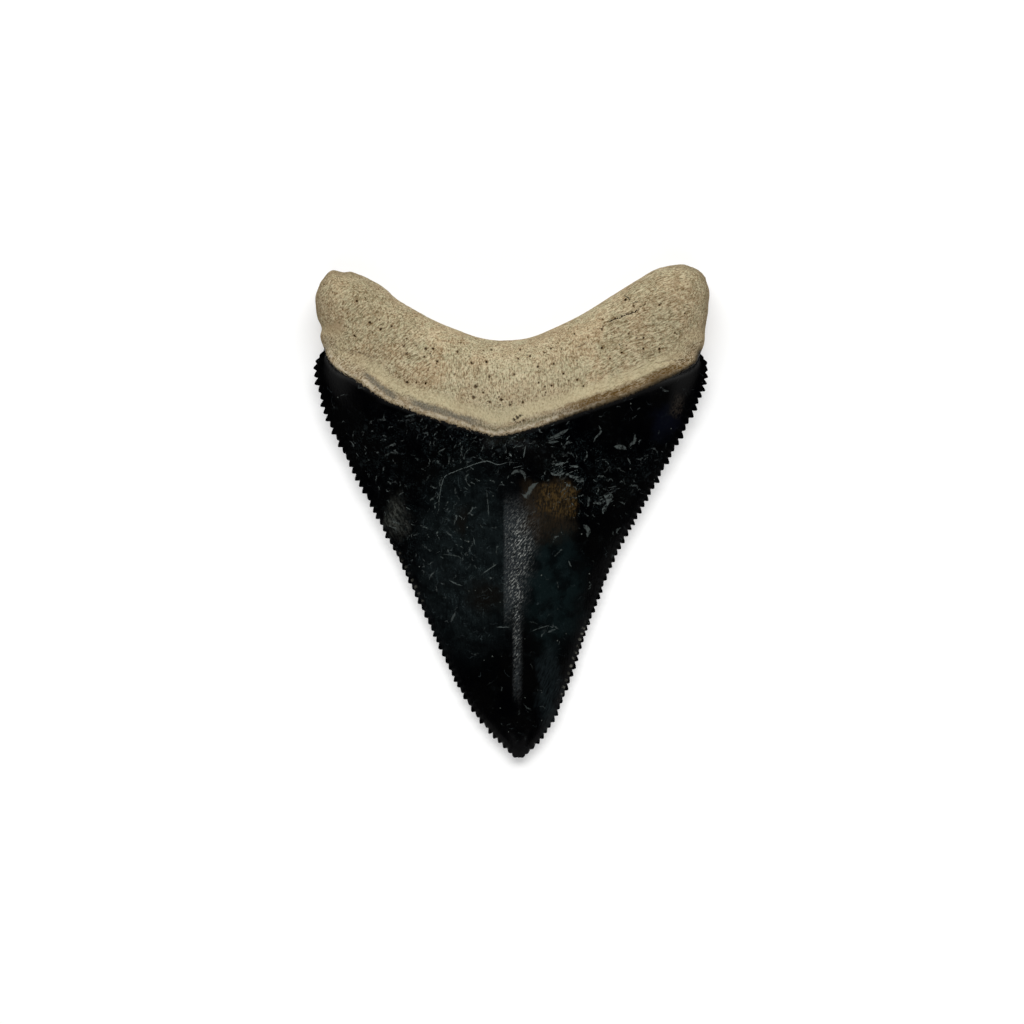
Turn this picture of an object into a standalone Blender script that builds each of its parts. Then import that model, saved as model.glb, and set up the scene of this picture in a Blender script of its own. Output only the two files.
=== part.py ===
# A fossil megalodon tooth, lying on its flatter (lip) side with the fuller (tongue) side up.
# It is one solid: a crown with serrated cutting edges, a narrow neck band and a two-lobed root.
# The surface is worked out in millimetres. +Y runs from the tip to the root, +Z up from the surface
# that it lies on, and the origin is on that surface, below the middle of the tooth.

import bpy
import numpy as np

MM = 0.001                      # metres in a millimetre
NAME = "tooth"

# Outline seen from above. The two cutting edges run from the tip to the necks, where the root begins.
TIP = (0.85, -27.4)
LEFT_NECK = (-20.75, 18.1)
RIGHT_NECK = (21.0, 17.6)
LEFT_EDGE = (TIP, (0.1, -27.12), (-0.95, -26.0), (-2.3, -24.6), (-4.2, -22.3), (-6.2, -18.9),
             (-9.45, -11.8), (-12.85, -4.7), (-16.5, 2.4), (-20.1, 9.5), (-21.5, 13.8), (-21.75, 16.4), LEFT_NECK)
RIGHT_EDGE = (TIP, (1.65, -27.1), (2.75, -26.0), (3.85, -24.6), (5.1, -22.5), (6.5, -18.9),
              (8.9, -11.8), (11.8, -4.7), (15.7, 2.4), (19.5, 9.5), (21.25, 13.4), (21.75, 16.4), RIGHT_NECK)
LEFT_SIDE = (LEFT_NECK, (-21.15, 19.4), (-21.0, 20.4), (-21.4, 21.5), (-21.65, 23.7), (-21.1, 25.4))
RIGHT_SIDE = (RIGHT_NECK, (21.4, 18.7), (21.5, 20.2), (21.75, 22.0), (21.9, 24.3), (21.5, 26.0))
TOP_EDGE = (LEFT_SIDE[-1], (-20.35, 26.45), (-19.7, 26.8), (-18.6, 26.5), (-17.7, 26.55), (-14.6, 25.2),
            (-12.4, 23.35), (-10.1, 22.0), (-6.8, 20.45), (-3.4, 19.25), (-0.4, 18.93), (2.1, 19.3),
            (4.3, 20.15), (7.7, 21.8), (11.0, 23.85), (14.3, 25.9), (16.1, 26.9), (18.7, 27.4),
            (20.6, 26.85), RIGHT_SIDE[-1])

# Where enamel meets root: a chevron on the upper face, a shallow bow on the face that it lies on.
FRONT_NECK = (LEFT_NECK, (-20.1, 16.7), (-18.9, 15.5), (-16.8, 14.3), (-14.1, 12.4), (-11.8, 11.4),
              (-7.9, 10.05), (-3.2, 8.6), (-1.5, 8.3), (1.9, 8.95), (6.5, 10.4), (12.0, 12.3),
              (15.9, 13.95), (20.2, 16.2), RIGHT_NECK)
BACK_NECK = (LEFT_NECK, (-19.7, 17.2), (-17.0, 15.7), (-10.0, 13.4), (0.0, 12.4), (10.0, 13.2),
             (17.0, 15.3), (19.9, 16.8), RIGHT_NECK)

# Heights above the resting surface, as (y, height) down the length of the tooth.
RIM_HEIGHT = ((-27.4, 1.5), (-20.0, 1.3), (-12.0, 1.4), (0.0, 1.75), (10.0, 2.15), (16.3, 2.6),
              (19.0, 3.5), (27.5, 3.8))
RIDGE_HEIGHT = ((-27.4, 1.5), (-26.2, 2.4), (-24.0, 3.25), (-20.0, 4.2), (-14.0, 5.35), (-6.0, 6.75),
                (2.0, 7.9), (9.0, 8.8), (18.0, 9.4))
BACK_HEIGHT = ((-27.4, 1.5), (-25.5, 0.85), (-22.0, 0.35), (-17.0, 0.1), (-13.0, 0.08), (-8.0, 0.15),
               (0.0, 0.4), (8.0, 0.7), (14.0, 0.95), (19.0, 1.1))
RIDGE_X = 0.9                   # the crown's median ridge
RIDGE_POWER = 1.65              # lower is a sharper ridge
BACK_POWER = 3.0                # higher is a flatter underside

# Root.
ROOT_HEIGHT = 7.9               # top of the lobes
SWELLING = 3.2                  # extra height of the swelling in the middle of the root
SWELLING_AT = (0.3, 14.2)
SWELLING_SIZE = (8.5, 6.2)
ROOT_EDGE_RADIUS = 3.4
ARCH = 1.15                     # hollow below the root, between the lobes
ARCH_WIDTH = 9.0
LOBE_RISE = 0.6
LOBES = ((-17.0, 22.8), (17.4, 23.0))
LOBE_SIZE = 4.5

# Neck: the root ends in a lip, with a groove behind it that is deeper on the left.
LEDGE = 0.3                     # drop from lip to enamel
LIP = (0.16, 0.25, 0.22)        # height, distance from the enamel, half width
GROOVE = (0.3, 0.9, 0.32)       # depth, distance from the enamel, half width
NECK_DROP = (0.45, 1.25)        # how far the root falls to the neck: middle, sides
NECK_REACH = 2.4                # over this distance
SHOULDER_REACH = 2.6            # the enamel rises to the neck over this distance
BLADE = {"front": 3.2, "back": 2.6}    # and stays thin this near the cutting edge

# Serrations of the cutting edges.
SERRATIONS = {"left": 66, "right": 65}
SERRATION_DEPTH = 0.33
SERRATION_FADE = (1.5, 3.0)     # length of edge over which they fade at the tip and at the neck
SERRATION_LEAN = 0.12           # shift of each point towards the tip

# Flats worn where it rests, as (x, y).
RESTS = ((-17.3, 21.6), (17.6, 21.8), (0.4, -14.0))
REST_CUT = 0.09                 # how deep each flat cuts into its rounded rise
REST_CURVE = 0.03               # rise per square millimetre around it

# Mesh.
CROWN_ROWS = 48
ROOT_ROWS = 18
COLUMNS = 30
SIDE_STEPS = 11                 # segments up each side of the root
TOP_STEPS = 40                  # segments along its top
FIRST_COLUMN = (0.5, 0.1)       # inset of the outer column, crown and root


def smooth_curve(points, steps=40):
    """Samples of the smooth curve through the points, evenly spread between each pair."""
    p = np.array(points, float)
    t = np.concatenate([[0.0], np.cumsum(np.linalg.norm(np.diff(p, axis=0), axis=1))])
    slope = np.empty_like(p)
    slope[1:-1] = (p[2:] - p[:-2]) / (t[2:] - t[:-2])[:, None]
    slope[0] = (p[1] - p[0]) / (t[1] - t[0])
    slope[-1] = (p[-1] - p[-2]) / (t[-1] - t[-2])
    k = np.arange(len(p) - 1).repeat(steps)
    f = np.tile(np.arange(steps) / steps, len(p) - 1)[:, None]
    h = (t[k + 1] - t[k])[:, None]
    curve = ((1 + 2 * f) * (1 - f) ** 2 * p[k] + f * (1 - f) ** 2 * h * slope[k]
             + f ** 2 * (3 - 2 * f) * p[k + 1] + f ** 2 * (f - 1) * h * slope[k + 1])
    return np.vstack([curve, p[-1]])


def at(curve, fraction):
    """Points at fractions of the curve's length."""
    length = np.concatenate([[0.0], np.cumsum(np.linalg.norm(np.diff(curve, axis=0), axis=1))])
    wanted = np.asarray(fraction) * length[-1]
    return np.stack([np.interp(wanted, length, curve[:, 0]), np.interp(wanted, length, curve[:, 1])], -1)


def curve_length(curve):
    return np.linalg.norm(np.diff(curve, axis=0), axis=1).sum()


def distance(points, curve):
    """Shortest distance from each point to the curve."""
    a = curve[:-1]
    b = curve[1:] - a
    c = points[:, None, :] - a[None]
    f = np.clip((c * b).sum(-1) / (b * b).sum(-1), 0.0, 1.0)
    return np.linalg.norm(c - f[..., None] * b, axis=-1).min(axis=1)


def blend(low, high, value):
    """0 below low, 1 above high, smooth between."""
    f = np.clip((value - low) / (high - low), 0.0, 1.0)
    return f * f * (3 - 2 * f)


def bell(offset, width):
    return np.exp(-(offset / width) ** 2)


left_edge = smooth_curve(LEFT_EDGE)
right_edge = smooth_curve(RIGHT_EDGE)
left_side = smooth_curve(LEFT_SIDE)
right_side = smooth_curve(RIGHT_SIDE)
top_edge = smooth_curve(TOP_EDGE, 20)
outline = np.vstack([left_side[:0:-1], left_edge[:0:-1], right_edge[:-1], right_side[:-1], top_edge[::-1]])
neck_lines = {"front": smooth_curve(FRONT_NECK, 20), "back": smooth_curve(BACK_NECK, 20)}
rim_line = smooth_curve(RIM_HEIGHT)
ridge_line = smooth_curve(RIDGE_HEIGHT)
back_line = smooth_curve(BACK_HEIGHT)


def rim_height(points):
    """Height of the outline, where the upper and lower faces meet."""
    x, y = points.T
    return np.interp(y, *rim_line.T) + ARCH * bell(x, ARCH_WIDTH) * blend(12.0, 19.0, y)


def across(points):
    """-1 on the left cutting edge, 0 on the median ridge, 1 on the right cutting edge."""
    x, y = points.T
    left = np.interp(y, left_edge[:, 1], left_edge[:, 0])
    right = np.interp(y, right_edge[:, 1], right_edge[:, 0])
    s = np.where(x < RIDGE_X, (x - RIDGE_X) / (RIDGE_X - left + 1e-6), (x - RIDGE_X) / (right - RIDGE_X + 1e-6))
    return np.clip(s, -1.0, 1.0)


def rounded(points):
    """0 on the outline, 1 inside the root's rounded edge."""
    inside = 1 - np.clip(distance(points, outline) / ROOT_EDGE_RADIUS, 0.0, 1.0)
    return np.sqrt(1 - inside ** 2)


def lumps(points):
    """Slow unevenness of the root."""
    x, y = points.T
    return 0.09 * (np.sin(0.61 * x + 0.4) * np.sin(0.83 * y + 0.3 * x) + 0.6 * np.sin(1.3 * x - 0.9 * y + 1.1))


def neck_distance(points, face):
    """Distance from the line where enamel meets root, positive on the root."""
    line = neck_lines[face]
    above = points[:, 1] > np.interp(points[:, 0], line[:, 0], line[:, 1])
    return np.where(above, 1, -1) * distance(points, line)


def joined(crown, root, from_neck, points, blade):
    """Enamel that rises to the neck, and root beyond it."""
    thick = 1 - bell(distance(points, outline), blade)
    enamel = crown + (root - LEDGE - crown) * np.exp(np.minimum(from_neck, 0) / SHOULDER_REACH) * thick
    is_root = blend(-0.15, 0.15, from_neck)
    return enamel * (1 - is_root) + root * is_root


def front_height(points):
    """Height of the upper face."""
    x, y = points.T
    rim = rim_height(points)
    from_neck = neck_distance(points, "front")
    crown = (np.interp(y, *ridge_line.T) - rim) * (1 - np.abs(across(points)) ** RIDGE_POWER)
    top = ROOT_HEIGHT + lumps(points) + SWELLING * (
        bell(x - SWELLING_AT[0], SWELLING_SIZE[0]) * bell(y - SWELLING_AT[1], SWELLING_SIZE[1]))
    for lobe in LOBES:
        top += LOBE_RISE * bell(np.hypot(x - lobe[0], y - lobe[1]), LOBE_SIZE)
    drop = NECK_DROP[1] + (NECK_DROP[0] - NECK_DROP[1]) * bell(x, 9.0)
    top -= drop * bell(np.maximum(from_neck, 0), NECK_REACH)
    root = (top - rim) * rounded(points)
    detail = LIP[0] * bell(from_neck - LIP[1], LIP[2])
    detail -= GROOVE[0] * bell(from_neck - GROOVE[1], GROOVE[2]) * (1 - 0.7 * blend(-4.0, 0.0, x))
    detail *= blend(0.0, 0.1, from_neck) * blend(0.2, 2.5, distance(points, outline))
    return rim + joined(crown, root, from_neck, points, BLADE["front"]) + detail


def back_height(points):
    """Height of the lower face, cut flat where it rests."""
    x, y = points.T
    rim = rim_height(points)
    from_neck = neck_distance(points, "back")
    crown = (rim - np.interp(y, *back_line.T)) * (1 - np.abs(across(points)) ** BACK_POWER)
    hollow = 0.16 + ARCH * bell(x, ARCH_WIDTH) + 0.5 * lumps(points)
    root = (rim - hollow) * rounded(points)
    height = rim - joined(crown, root, from_neck, points, BLADE["back"])
    for rest in RESTS:
        rise = REST_CURVE * ((x - rest[0]) ** 2 + (y - rest[1]) ** 2) - REST_CUT
        height = np.minimum(height, np.maximum(rise, 0.0))
    return np.maximum(height, 0.0)


def face_point(u, w, part, face):
    """Point of a face's plan: u goes from left to right, w up the crown or up the root."""
    neck = neck_lines[face]
    if part == "crown":
        left, right = at(left_edge, w), at(right_edge, w)
        low, high = np.broadcast_to(TIP, u.shape + (2,)), at(neck, u)
        corners = (TIP, TIP, neck[0], neck[-1])
    else:
        left, right = at(left_side, w), at(right_side, w)
        low, high = at(neck, u), at(top_edge, u)
        corners = (neck[0], neck[-1], top_edge[0], top_edge[-1])
    u, w = u[..., None], w[..., None]
    corner = ((1 - u) * (1 - w) * corners[0] + u * (1 - w) * np.array(corners[1])
              + (1 - u) * w * corners[2] + u * w * corners[3])
    return (1 - w) * low + w * high + (1 - u) * left + u * right - corner


def face_plan(face):
    """Rows of points over the whole face, tip to root, short of the outline."""
    even = np.linspace(0.0, 1.0, COLUMNS)
    bunched = (1 - np.cos(np.pi * even)) / 2
    rows = []
    crown_w = np.concatenate([np.linspace(0.03, 0.972, CROWN_ROWS - 2), [0.986, 0.996]])
    climb = np.sin(np.linspace(0.0, np.pi / 2, ROOT_ROWS - 2)) * 0.83
    root_w = np.concatenate([[0.03, 0.085], 0.15 + climb * (0.985 - 0.15) / 0.83])
    for part, levels in (("crown", crown_w), ("root", root_w)):
        for level in levels:
            on_root = 1.0 if part == "root" else blend(0.93, 1.0, level)
            width = np.linalg.norm(np.subtract(*[
                at(side, level) for side in ((left_edge, right_edge), (left_side, right_side))[part == "root"]]))
            inset = (FIRST_COLUMN[0] + (FIRST_COLUMN[1] - FIRST_COLUMN[0]) * on_root) / width
            spread = even + (bunched - even) * (0.25 + 0.65 * on_root)
            u = min(inset, 0.25) + (1 - 2 * min(inset, 0.25)) * spread
            rows.append(face_point(u, np.full(COLUMNS, level), part, face))
    return np.array(rows)


def serrated(curve, count, outward):
    """Points of a cutting edge, from the neck to the tip, two to each serration."""
    fraction = np.arange(1, 2 * count) / (2 * count)
    middle = at(curve, fraction)
    run = at(curve, np.minimum(fraction + 0.002, 1)) - at(curve, fraction - 0.002)
    run /= np.linalg.norm(run, axis=1)[:, None]
    length = curve_length(curve)
    fade = blend(0, SERRATION_FADE[0], fraction * length) * blend(0, SERRATION_FADE[1], (1 - fraction) * length)
    wander = 1 + 0.22 * np.sin(37.0 * fraction + 1.0) * np.sin(101.0 * fraction)
    out = np.where(np.arange(1, 2 * count) % 2 == 1, 0.5, -0.5) * SERRATION_DEPTH * fade * wander
    normal = outward * np.stack([run[:, 1], -run[:, 0]], -1)
    lean = -run * (np.maximum(out, 0) / SERRATION_DEPTH * 2 * SERRATION_LEAN)[:, None]
    return (middle + normal * out[:, None] + lean)[::-1]


def rim_plan():
    """The whole outline, once round: down the left, round the tip, up the right, back over the root."""
    side = np.arange(1, SIDE_STEPS + 1) / SIDE_STEPS
    top = (1 - np.cos(np.pi * np.arange(1, TOP_STEPS) / TOP_STEPS)) / 2 * 0.5
    top += np.arange(1, TOP_STEPS) / TOP_STEPS * 0.5
    return np.vstack([
        at(left_side, side[::-1]), [LEFT_NECK],
        serrated(left_edge, SERRATIONS["left"], -1), [TIP],
        serrated(right_edge, SERRATIONS["right"], 1)[::-1], [RIGHT_NECK],
        at(right_side, side), at(top_edge, top[::-1])])


def zip_loops(outer, inner, outer_start, inner_start):
    """Triangles between two closed loops that run the same way, always across the shorter gap."""
    triangles = []
    i = j = 0
    while i < len(outer) or j < len(inner):
        here_out, next_out = i % len(outer), (i + 1) % len(outer)
        here_in, next_in = j % len(inner), (j + 1) % len(inner)
        step_out = np.linalg.norm(outer[next_out] - inner[here_in])
        step_in = np.linalg.norm(outer[here_out] - inner[next_in])
        if j == len(inner) or (i < len(outer) and step_out <= step_in):
            triangles.append((outer_start + here_out, outer_start + next_out, inner_start[here_in]))
            i += 1
        else:
            triangles.append((outer_start + here_out, inner_start[next_in], inner_start[here_in]))
            j += 1
    return triangles


def face_mesh(rim, face, height, first):
    """Points and triangles of one face, inside the rim, whose points come first in the mesh."""
    plan = face_plan(face)
    rows, columns = plan.shape[:2]
    flat = plan.reshape(-1, 2)
    points = np.column_stack([flat, height(flat)])
    index = first + np.arange(rows * columns).reshape(rows, columns)
    loop = np.concatenate([index[::-1, 0], index[0, 1:], index[1:, -1], index[-1, -2:0:-1]])
    triangles = zip_loops(rim, flat[loop - first], 0, loop)
    a, b, c, d = (index[:-1, :-1].ravel(), index[:-1, 1:].ravel(), index[1:, 1:].ravel(), index[1:, :-1].ravel())
    triangles += list(zip(a, b, c)) + list(zip(a, c, d))
    if face == "back":
        triangles = [triangle[::-1] for triangle in triangles]
    return points, triangles


def fossil_material():
    material = bpy.data.materials.new("fossil")
    material.use_nodes = True
    shader = material.node_tree.nodes["Principled BSDF"]
    shader.inputs["Base Color"].default_value = (0.12, 0.11, 0.09, 1.0)
    shader.inputs["Roughness"].default_value = 0.45
    shader.inputs["Metallic"].default_value = 0.0
    return material


def build_tooth(collection):
    rim = rim_plan()
    points = [np.column_stack([rim, rim_height(rim)])]
    triangles = []
    for face, height in (("front", front_height), ("back", back_height)):
        face_points, face_triangles = face_mesh(rim, face, height, sum(len(p) for p in points))
        points.append(face_points)
        triangles += face_triangles
    mesh = bpy.data.meshes.new(NAME)
    mesh.from_pydata((np.vstack(points) * MM).tolist(), [], [tuple(map(int, t)) for t in triangles])
    mesh.materials.append(fossil_material())
    mesh.validate()
    mesh.shade_smooth()
    mesh.set_sharp_from_angle(angle=np.radians(40))
    tooth = bpy.data.objects.new(NAME, mesh)
    collection.objects.link(tooth)
    return tooth


for thing in list(bpy.data.objects):
    bpy.data.objects.remove(thing)
group = bpy.data.collections.new("megalodon_tooth")
bpy.context.scene.collection.children.link(group)
build_tooth(group)
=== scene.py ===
import math
import bpy
import numpy as np
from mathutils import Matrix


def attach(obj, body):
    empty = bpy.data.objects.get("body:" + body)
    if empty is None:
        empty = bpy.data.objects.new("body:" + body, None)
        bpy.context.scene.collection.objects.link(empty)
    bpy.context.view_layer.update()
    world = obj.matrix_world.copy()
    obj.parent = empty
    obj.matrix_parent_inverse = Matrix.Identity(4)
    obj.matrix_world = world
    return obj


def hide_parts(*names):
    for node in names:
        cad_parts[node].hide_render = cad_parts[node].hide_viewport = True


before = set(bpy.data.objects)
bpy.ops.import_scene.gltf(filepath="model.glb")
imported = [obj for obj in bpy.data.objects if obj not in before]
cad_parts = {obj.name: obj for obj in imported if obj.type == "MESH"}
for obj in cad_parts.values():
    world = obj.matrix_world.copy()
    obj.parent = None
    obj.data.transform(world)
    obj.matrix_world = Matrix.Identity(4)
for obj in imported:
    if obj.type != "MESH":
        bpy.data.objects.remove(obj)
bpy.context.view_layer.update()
mm = 0.001  # the tooth's own numbers below are in millimetres


# The tooth lies on its flatter side: +Y from tip to root, +Z up from the table, x from side to side.
tooth = {
    # seen from above: the cutting edges from the tip to the necks, then round the root
    "leftEdge": [(0.85, -27.4), (0.1, -27.12), (-0.95, -26.0), (-2.3, -24.6), (-4.2, -22.3),
                 (-6.2, -18.9), (-9.45, -11.8), (-12.85, -4.7), (-16.5, 2.4), (-20.1, 9.5),
                 (-21.5, 13.8), (-21.75, 16.4), (-20.75, 18.1)],
    "rightEdge": [(0.85, -27.4), (1.65, -27.1), (2.75, -26.0), (3.85, -24.6), (5.1, -22.5),
                  (6.5, -18.9), (8.9, -11.8), (11.8, -4.7), (15.7, 2.4), (19.5, 9.5),
                  (21.25, 13.4), (21.75, 16.4), (21.0, 17.6)],
    "leftSide": [(-20.75, 18.1), (-21.15, 19.4), (-21.0, 20.4), (-21.4, 21.5), (-21.65, 23.7), (-21.1, 25.4)],
    "rightSide": [(21.0, 17.6), (21.4, 18.7), (21.5, 20.2), (21.75, 22.0), (21.9, 24.3), (21.5, 26.0)],
    "top": [(-21.1, 25.4), (-20.35, 26.45), (-19.7, 26.8), (-18.6, 26.5), (-17.7, 26.55), (-14.6, 25.2),
            (-12.4, 23.35), (-10.1, 22.0), (-6.8, 20.45), (-3.4, 19.25), (-0.4, 18.93), (2.1, 19.3),
            (4.3, 20.15), (7.7, 21.8), (11.0, 23.85), (14.3, 25.9), (16.1, 26.9), (18.7, 27.4),
            (20.6, 26.85), (21.5, 26.0)],
    # where enamel meets root, on the upper and on the lower face
    "frontNeck": [(-20.75, 18.1), (-20.1, 16.7), (-18.9, 15.5), (-16.8, 14.3), (-14.1, 12.4), (-11.8, 11.4),
                  (-7.9, 10.05), (-3.2, 8.6), (-1.5, 8.3), (1.9, 8.95), (6.5, 10.4), (12.0, 12.3),
                  (15.9, 13.95), (20.2, 16.2), (21.0, 17.6)],
    "backNeck": [(-20.75, 18.1), (-19.7, 17.2), (-17.0, 15.7), (-10.0, 13.4), (0.0, 12.4), (10.0, 13.2),
                 (17.0, 15.3), (19.9, 16.8), (21.0, 17.6)],
    # heights above the table as (y, height): the edges, the ridge of the upper face, the lower face
    "rim": [(-27.4, 1.5), (-20.0, 1.3), (-12.0, 1.4), (0.0, 1.75), (10.0, 2.15), (16.3, 2.6),
            (19.0, 3.5), (27.5, 3.8)],
    "ridge": [(-27.4, 1.5), (-26.2, 2.4), (-24.0, 3.25), (-20.0, 4.2), (-14.0, 5.35), (-6.0, 6.75),
              (2.0, 7.9), (9.0, 8.8), (18.0, 9.4)],
    "belly": [(-27.4, 1.5), (-25.5, 0.85), (-22.0, 0.35), (-17.0, 0.1), (-13.0, 0.08), (-8.0, 0.15),
              (0.0, 0.4), (8.0, 0.7), (14.0, 0.95), (19.0, 1.1)],
    "ridgeX": 0.9, "ridgePower": 1.65, "bellyPower": 3.0,
    "rootHeight": 7.9, "swelling": 3.2, "swellingAt": (0.3, 14.2), "swellingSize": (8.5, 6.2),
    "rootRadius": 3.4, "arch": 1.15, "archWidth": 9.0, "archFrom": (12.0, 19.0), "hollow": 0.16,
    "lumps": 0.09, "lobeRise": 0.6, "lobes": [(-17.0, 22.8), (17.4, 23.0)], "lobeSize": 4.5,
    "ledge": 0.3, "neckDrop": (0.45, 1.25), "neckDropWidth": 9.0, "neckReach": 2.4, "neckEdge": 0.12,
    "shoulderReach": 2.6,
    "bladeFront": 3.2, "bladeBack": 2.6,
    "rests": [(-17.3, 21.6), (17.6, 21.8), (0.4, -14.0)], "restCut": 0.09, "restCurve": 0.03,
}


# Smooth curve through points p with slopes m at even chord length t: between two of them it is
# (2f^3-3f^2+1)p + (f^3-2f^2+f)hm + (3f^2-2f^3)q + (f^3-f^2)hn, f from 0 to 1 over the length h.
def curveThrough(points, steps=40):
    p = np.array(points, float)
    t = np.concatenate([[0.0], np.cumsum(np.linalg.norm(np.diff(p, axis=0), axis=1))])
    slope = np.empty_like(p)
    slope[1:-1] = (p[2:] - p[:-2]) / (t[2:] - t[:-2])[:, None]
    slope[0] = (p[1] - p[0]) / (t[1] - t[0])
    slope[-1] = (p[-1] - p[-2]) / (t[-1] - t[-2])
    k = np.arange(len(p) - 1).repeat(steps)
    f = np.tile(np.arange(steps) / steps, len(p) - 1)[:, None]
    h = (t[k + 1] - t[k])[:, None]
    curve = ((1 + 2 * f) * (1 - f) ** 2 * p[k] + f * (1 - f) ** 2 * h * slope[k]
             + f ** 2 * (3 - 2 * f) * p[k + 1] + f ** 2 * (f - 1) * h * slope[k + 1])
    return np.vstack([curve, p[-1]])


# Length from a curve's start to each of its points: the running sum of its chords.
def lengthAlong(curve):
    return np.concatenate([[0.0], np.cumsum(np.linalg.norm(np.diff(curve, axis=0), axis=1))])


# Points at fractions of a curve's length.
def alongCurve(curve, fraction):
    length = lengthAlong(curve)
    wanted = np.asarray(fraction) * length[-1]
    return np.stack([np.interp(wanted, length, curve[:, 0]), np.interp(wanted, length, curve[:, 1])], -1)


# 0 below low, 1 above high, 3f^2 - 2f^3 between.
def smoothStep(low, high, value):
    f = np.clip((value - low) / (high - low), 0.0, 1.0)
    return f * f * (3 - 2 * f)


# exp(-(offset / width)^2)
def bell(offset, width):
    return np.exp(-(np.asarray(offset) / width) ** 2)


# Distance from points to a curve, which side of its run they lie on (+ to the left) and how far
# along it the nearest place is: the nearest corner first, then the two segments that meet there.
def nearestOn(points, curve):
    length = lengthAlong(curve)
    found = []
    atOnce = 4000000  # distances worked out at a time
    for some in np.array_split(points, max(1, len(points) * len(curve) // atOnce)):
        gap = (some[:, None, 0] - curve[None, :, 0]) ** 2 + (some[:, None, 1] - curve[None, :, 1]) ** 2
        nearest = gap.argmin(axis=1)
        best = np.full(len(some), np.inf)
        side = np.ones(len(some))
        place = np.zeros(len(some))
        for step in (-1, 0):
            k = np.clip(nearest + step, 0, len(curve) - 2)
            run = curve[k + 1] - curve[k]
            off = some - curve[k]
            f = np.clip((off * run).sum(1) / (run * run).sum(1), 0.0, 1.0)
            here = np.linalg.norm(off - f[:, None] * run, axis=1)
            closer = here < best
            best = np.where(closer, here, best)
            side = np.where(closer, np.sign(run[:, 0] * off[:, 1] - run[:, 1] * off[:, 0]), side)
            place = np.where(closer, length[k] + f * (length[k + 1] - length[k]), place)
        found.append(np.stack([best, side, place]))
    return np.concatenate(found, axis=1)


# Smooth random field from -1 to 1: seeded values on a lattice of the given size, blended by
# 3f^2 - 2f^3 along each axis.
def roughField(points, size, seed):
    lattice = 32  # values along each axis, repeated beyond
    values = np.random.default_rng(seed).uniform(-1, 1, (lattice, lattice, lattice))
    place = points / size + 1000.0
    cell = np.floor(place).astype(int)
    f = place - cell
    f = f * f * (3 - 2 * f)
    total = 0.0
    for corner in np.ndindex(2, 2, 2):
        weight = np.prod(np.where(corner, f, 1 - f), axis=1)
        i, j, k = ((cell + corner) % lattice).T
        total = total + weight * values[i, j, k]
    return total


leftEdge = curveThrough(tooth["leftEdge"])
rightEdge = curveThrough(tooth["rightEdge"])
leftSide = curveThrough(tooth["leftSide"])
rightSide = curveThrough(tooth["rightSide"])
topEdge = curveThrough(tooth["top"], 20)
outline = np.vstack([leftSide[:0:-1], leftEdge[:0:-1], rightEdge[:-1], rightSide[:-1], topEdge[::-1]])
necks = {"front": curveThrough(tooth["frontNeck"], 20), "back": curveThrough(tooth["backNeck"], 20)}
rimLine = curveThrough(tooth["rim"])
ridgeLine = curveThrough(tooth["ridge"])
bellyLine = curveThrough(tooth["belly"])


# Height of the rim at y, raised by arch * bell(x) where the root is notched.
def rimHeight(x, y):
    arch = tooth["arch"] * bell(x, tooth["archWidth"]) * smoothStep(*tooth["archFrom"], y)
    return np.interp(y, *rimLine.T) + arch


# -1 on the left cutting edge, 0 on the ridge, 1 on the right cutting edge, straight between.
def acrossCrown(x, y):
    left = np.interp(y, leftEdge[:, 1], leftEdge[:, 0])
    right = np.interp(y, rightEdge[:, 1], rightEdge[:, 0])
    middle = tooth["ridgeX"]
    s = np.where(x < middle, (x - middle) / (middle - left + 1e-6), (x - middle) / (right - middle + 1e-6))
    return np.clip(s, -1.0, 1.0)


# Slow unevenness of the root: products of sines, about 0.14 mm up and down.
def rootLumps(x, y):
    broad = np.sin(0.61 * x + 0.4) * np.sin(0.83 * y + 0.3 * x)
    return tooth["lumps"] * (broad + 0.6 * np.sin(1.3 * x - 0.9 * y + 1.1))


# The enamel rises to the neck by exp(-distance / reach), but stays a thin blade near the cutting
# edge, and past the neck the root takes over.
def joinAtNeck(crown, root, fromNeck, fromRim, blade):
    thick = 1 - bell(fromRim, blade)
    rise = np.exp(np.minimum(fromNeck, 0) / tooth["shoulderReach"]) * thick
    enamel = crown + (root - tooth["ledge"] - crown) * rise
    isRoot = smoothStep(-tooth["neckEdge"], tooth["neckEdge"], fromNeck)
    return enamel * (1 - isRoot) + root * isRoot


# Upper face: rim + (ridge - rim) * (1 - |s|^power) on the crown. On the root, lobes and a middle
# swelling stand as bells on a flat top, which drops to the neck as a bell too and to the rim as a
# quarter round of the root's radius.
def frontHeight(x, y, fromNeck, fromRim):
    rim = rimHeight(x, y)
    crown = (np.interp(y, *ridgeLine.T) - rim) * (1 - np.abs(acrossCrown(x, y)) ** tooth["ridgePower"])
    (sx, sy), (wx, wy) = tooth["swellingAt"], tooth["swellingSize"]
    top = tooth["rootHeight"] + rootLumps(x, y) + tooth["swelling"] * bell(x - sx, wx) * bell(y - sy, wy)
    for lx, ly in tooth["lobes"]:
        top = top + tooth["lobeRise"] * bell(np.hypot(x - lx, y - ly), tooth["lobeSize"])
    middle, sides = tooth["neckDrop"]
    drop = sides + (middle - sides) * bell(x, tooth["neckDropWidth"])
    top = top - drop * bell(np.maximum(fromNeck, 0), tooth["neckReach"])
    inside = 1 - np.clip(fromRim / tooth["rootRadius"], 0.0, 1.0)
    root = (top - rim) * np.sqrt(1 - inside ** 2)
    return rim + joinAtNeck(crown, root, fromNeck, fromRim, tooth["bladeFront"])


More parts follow.
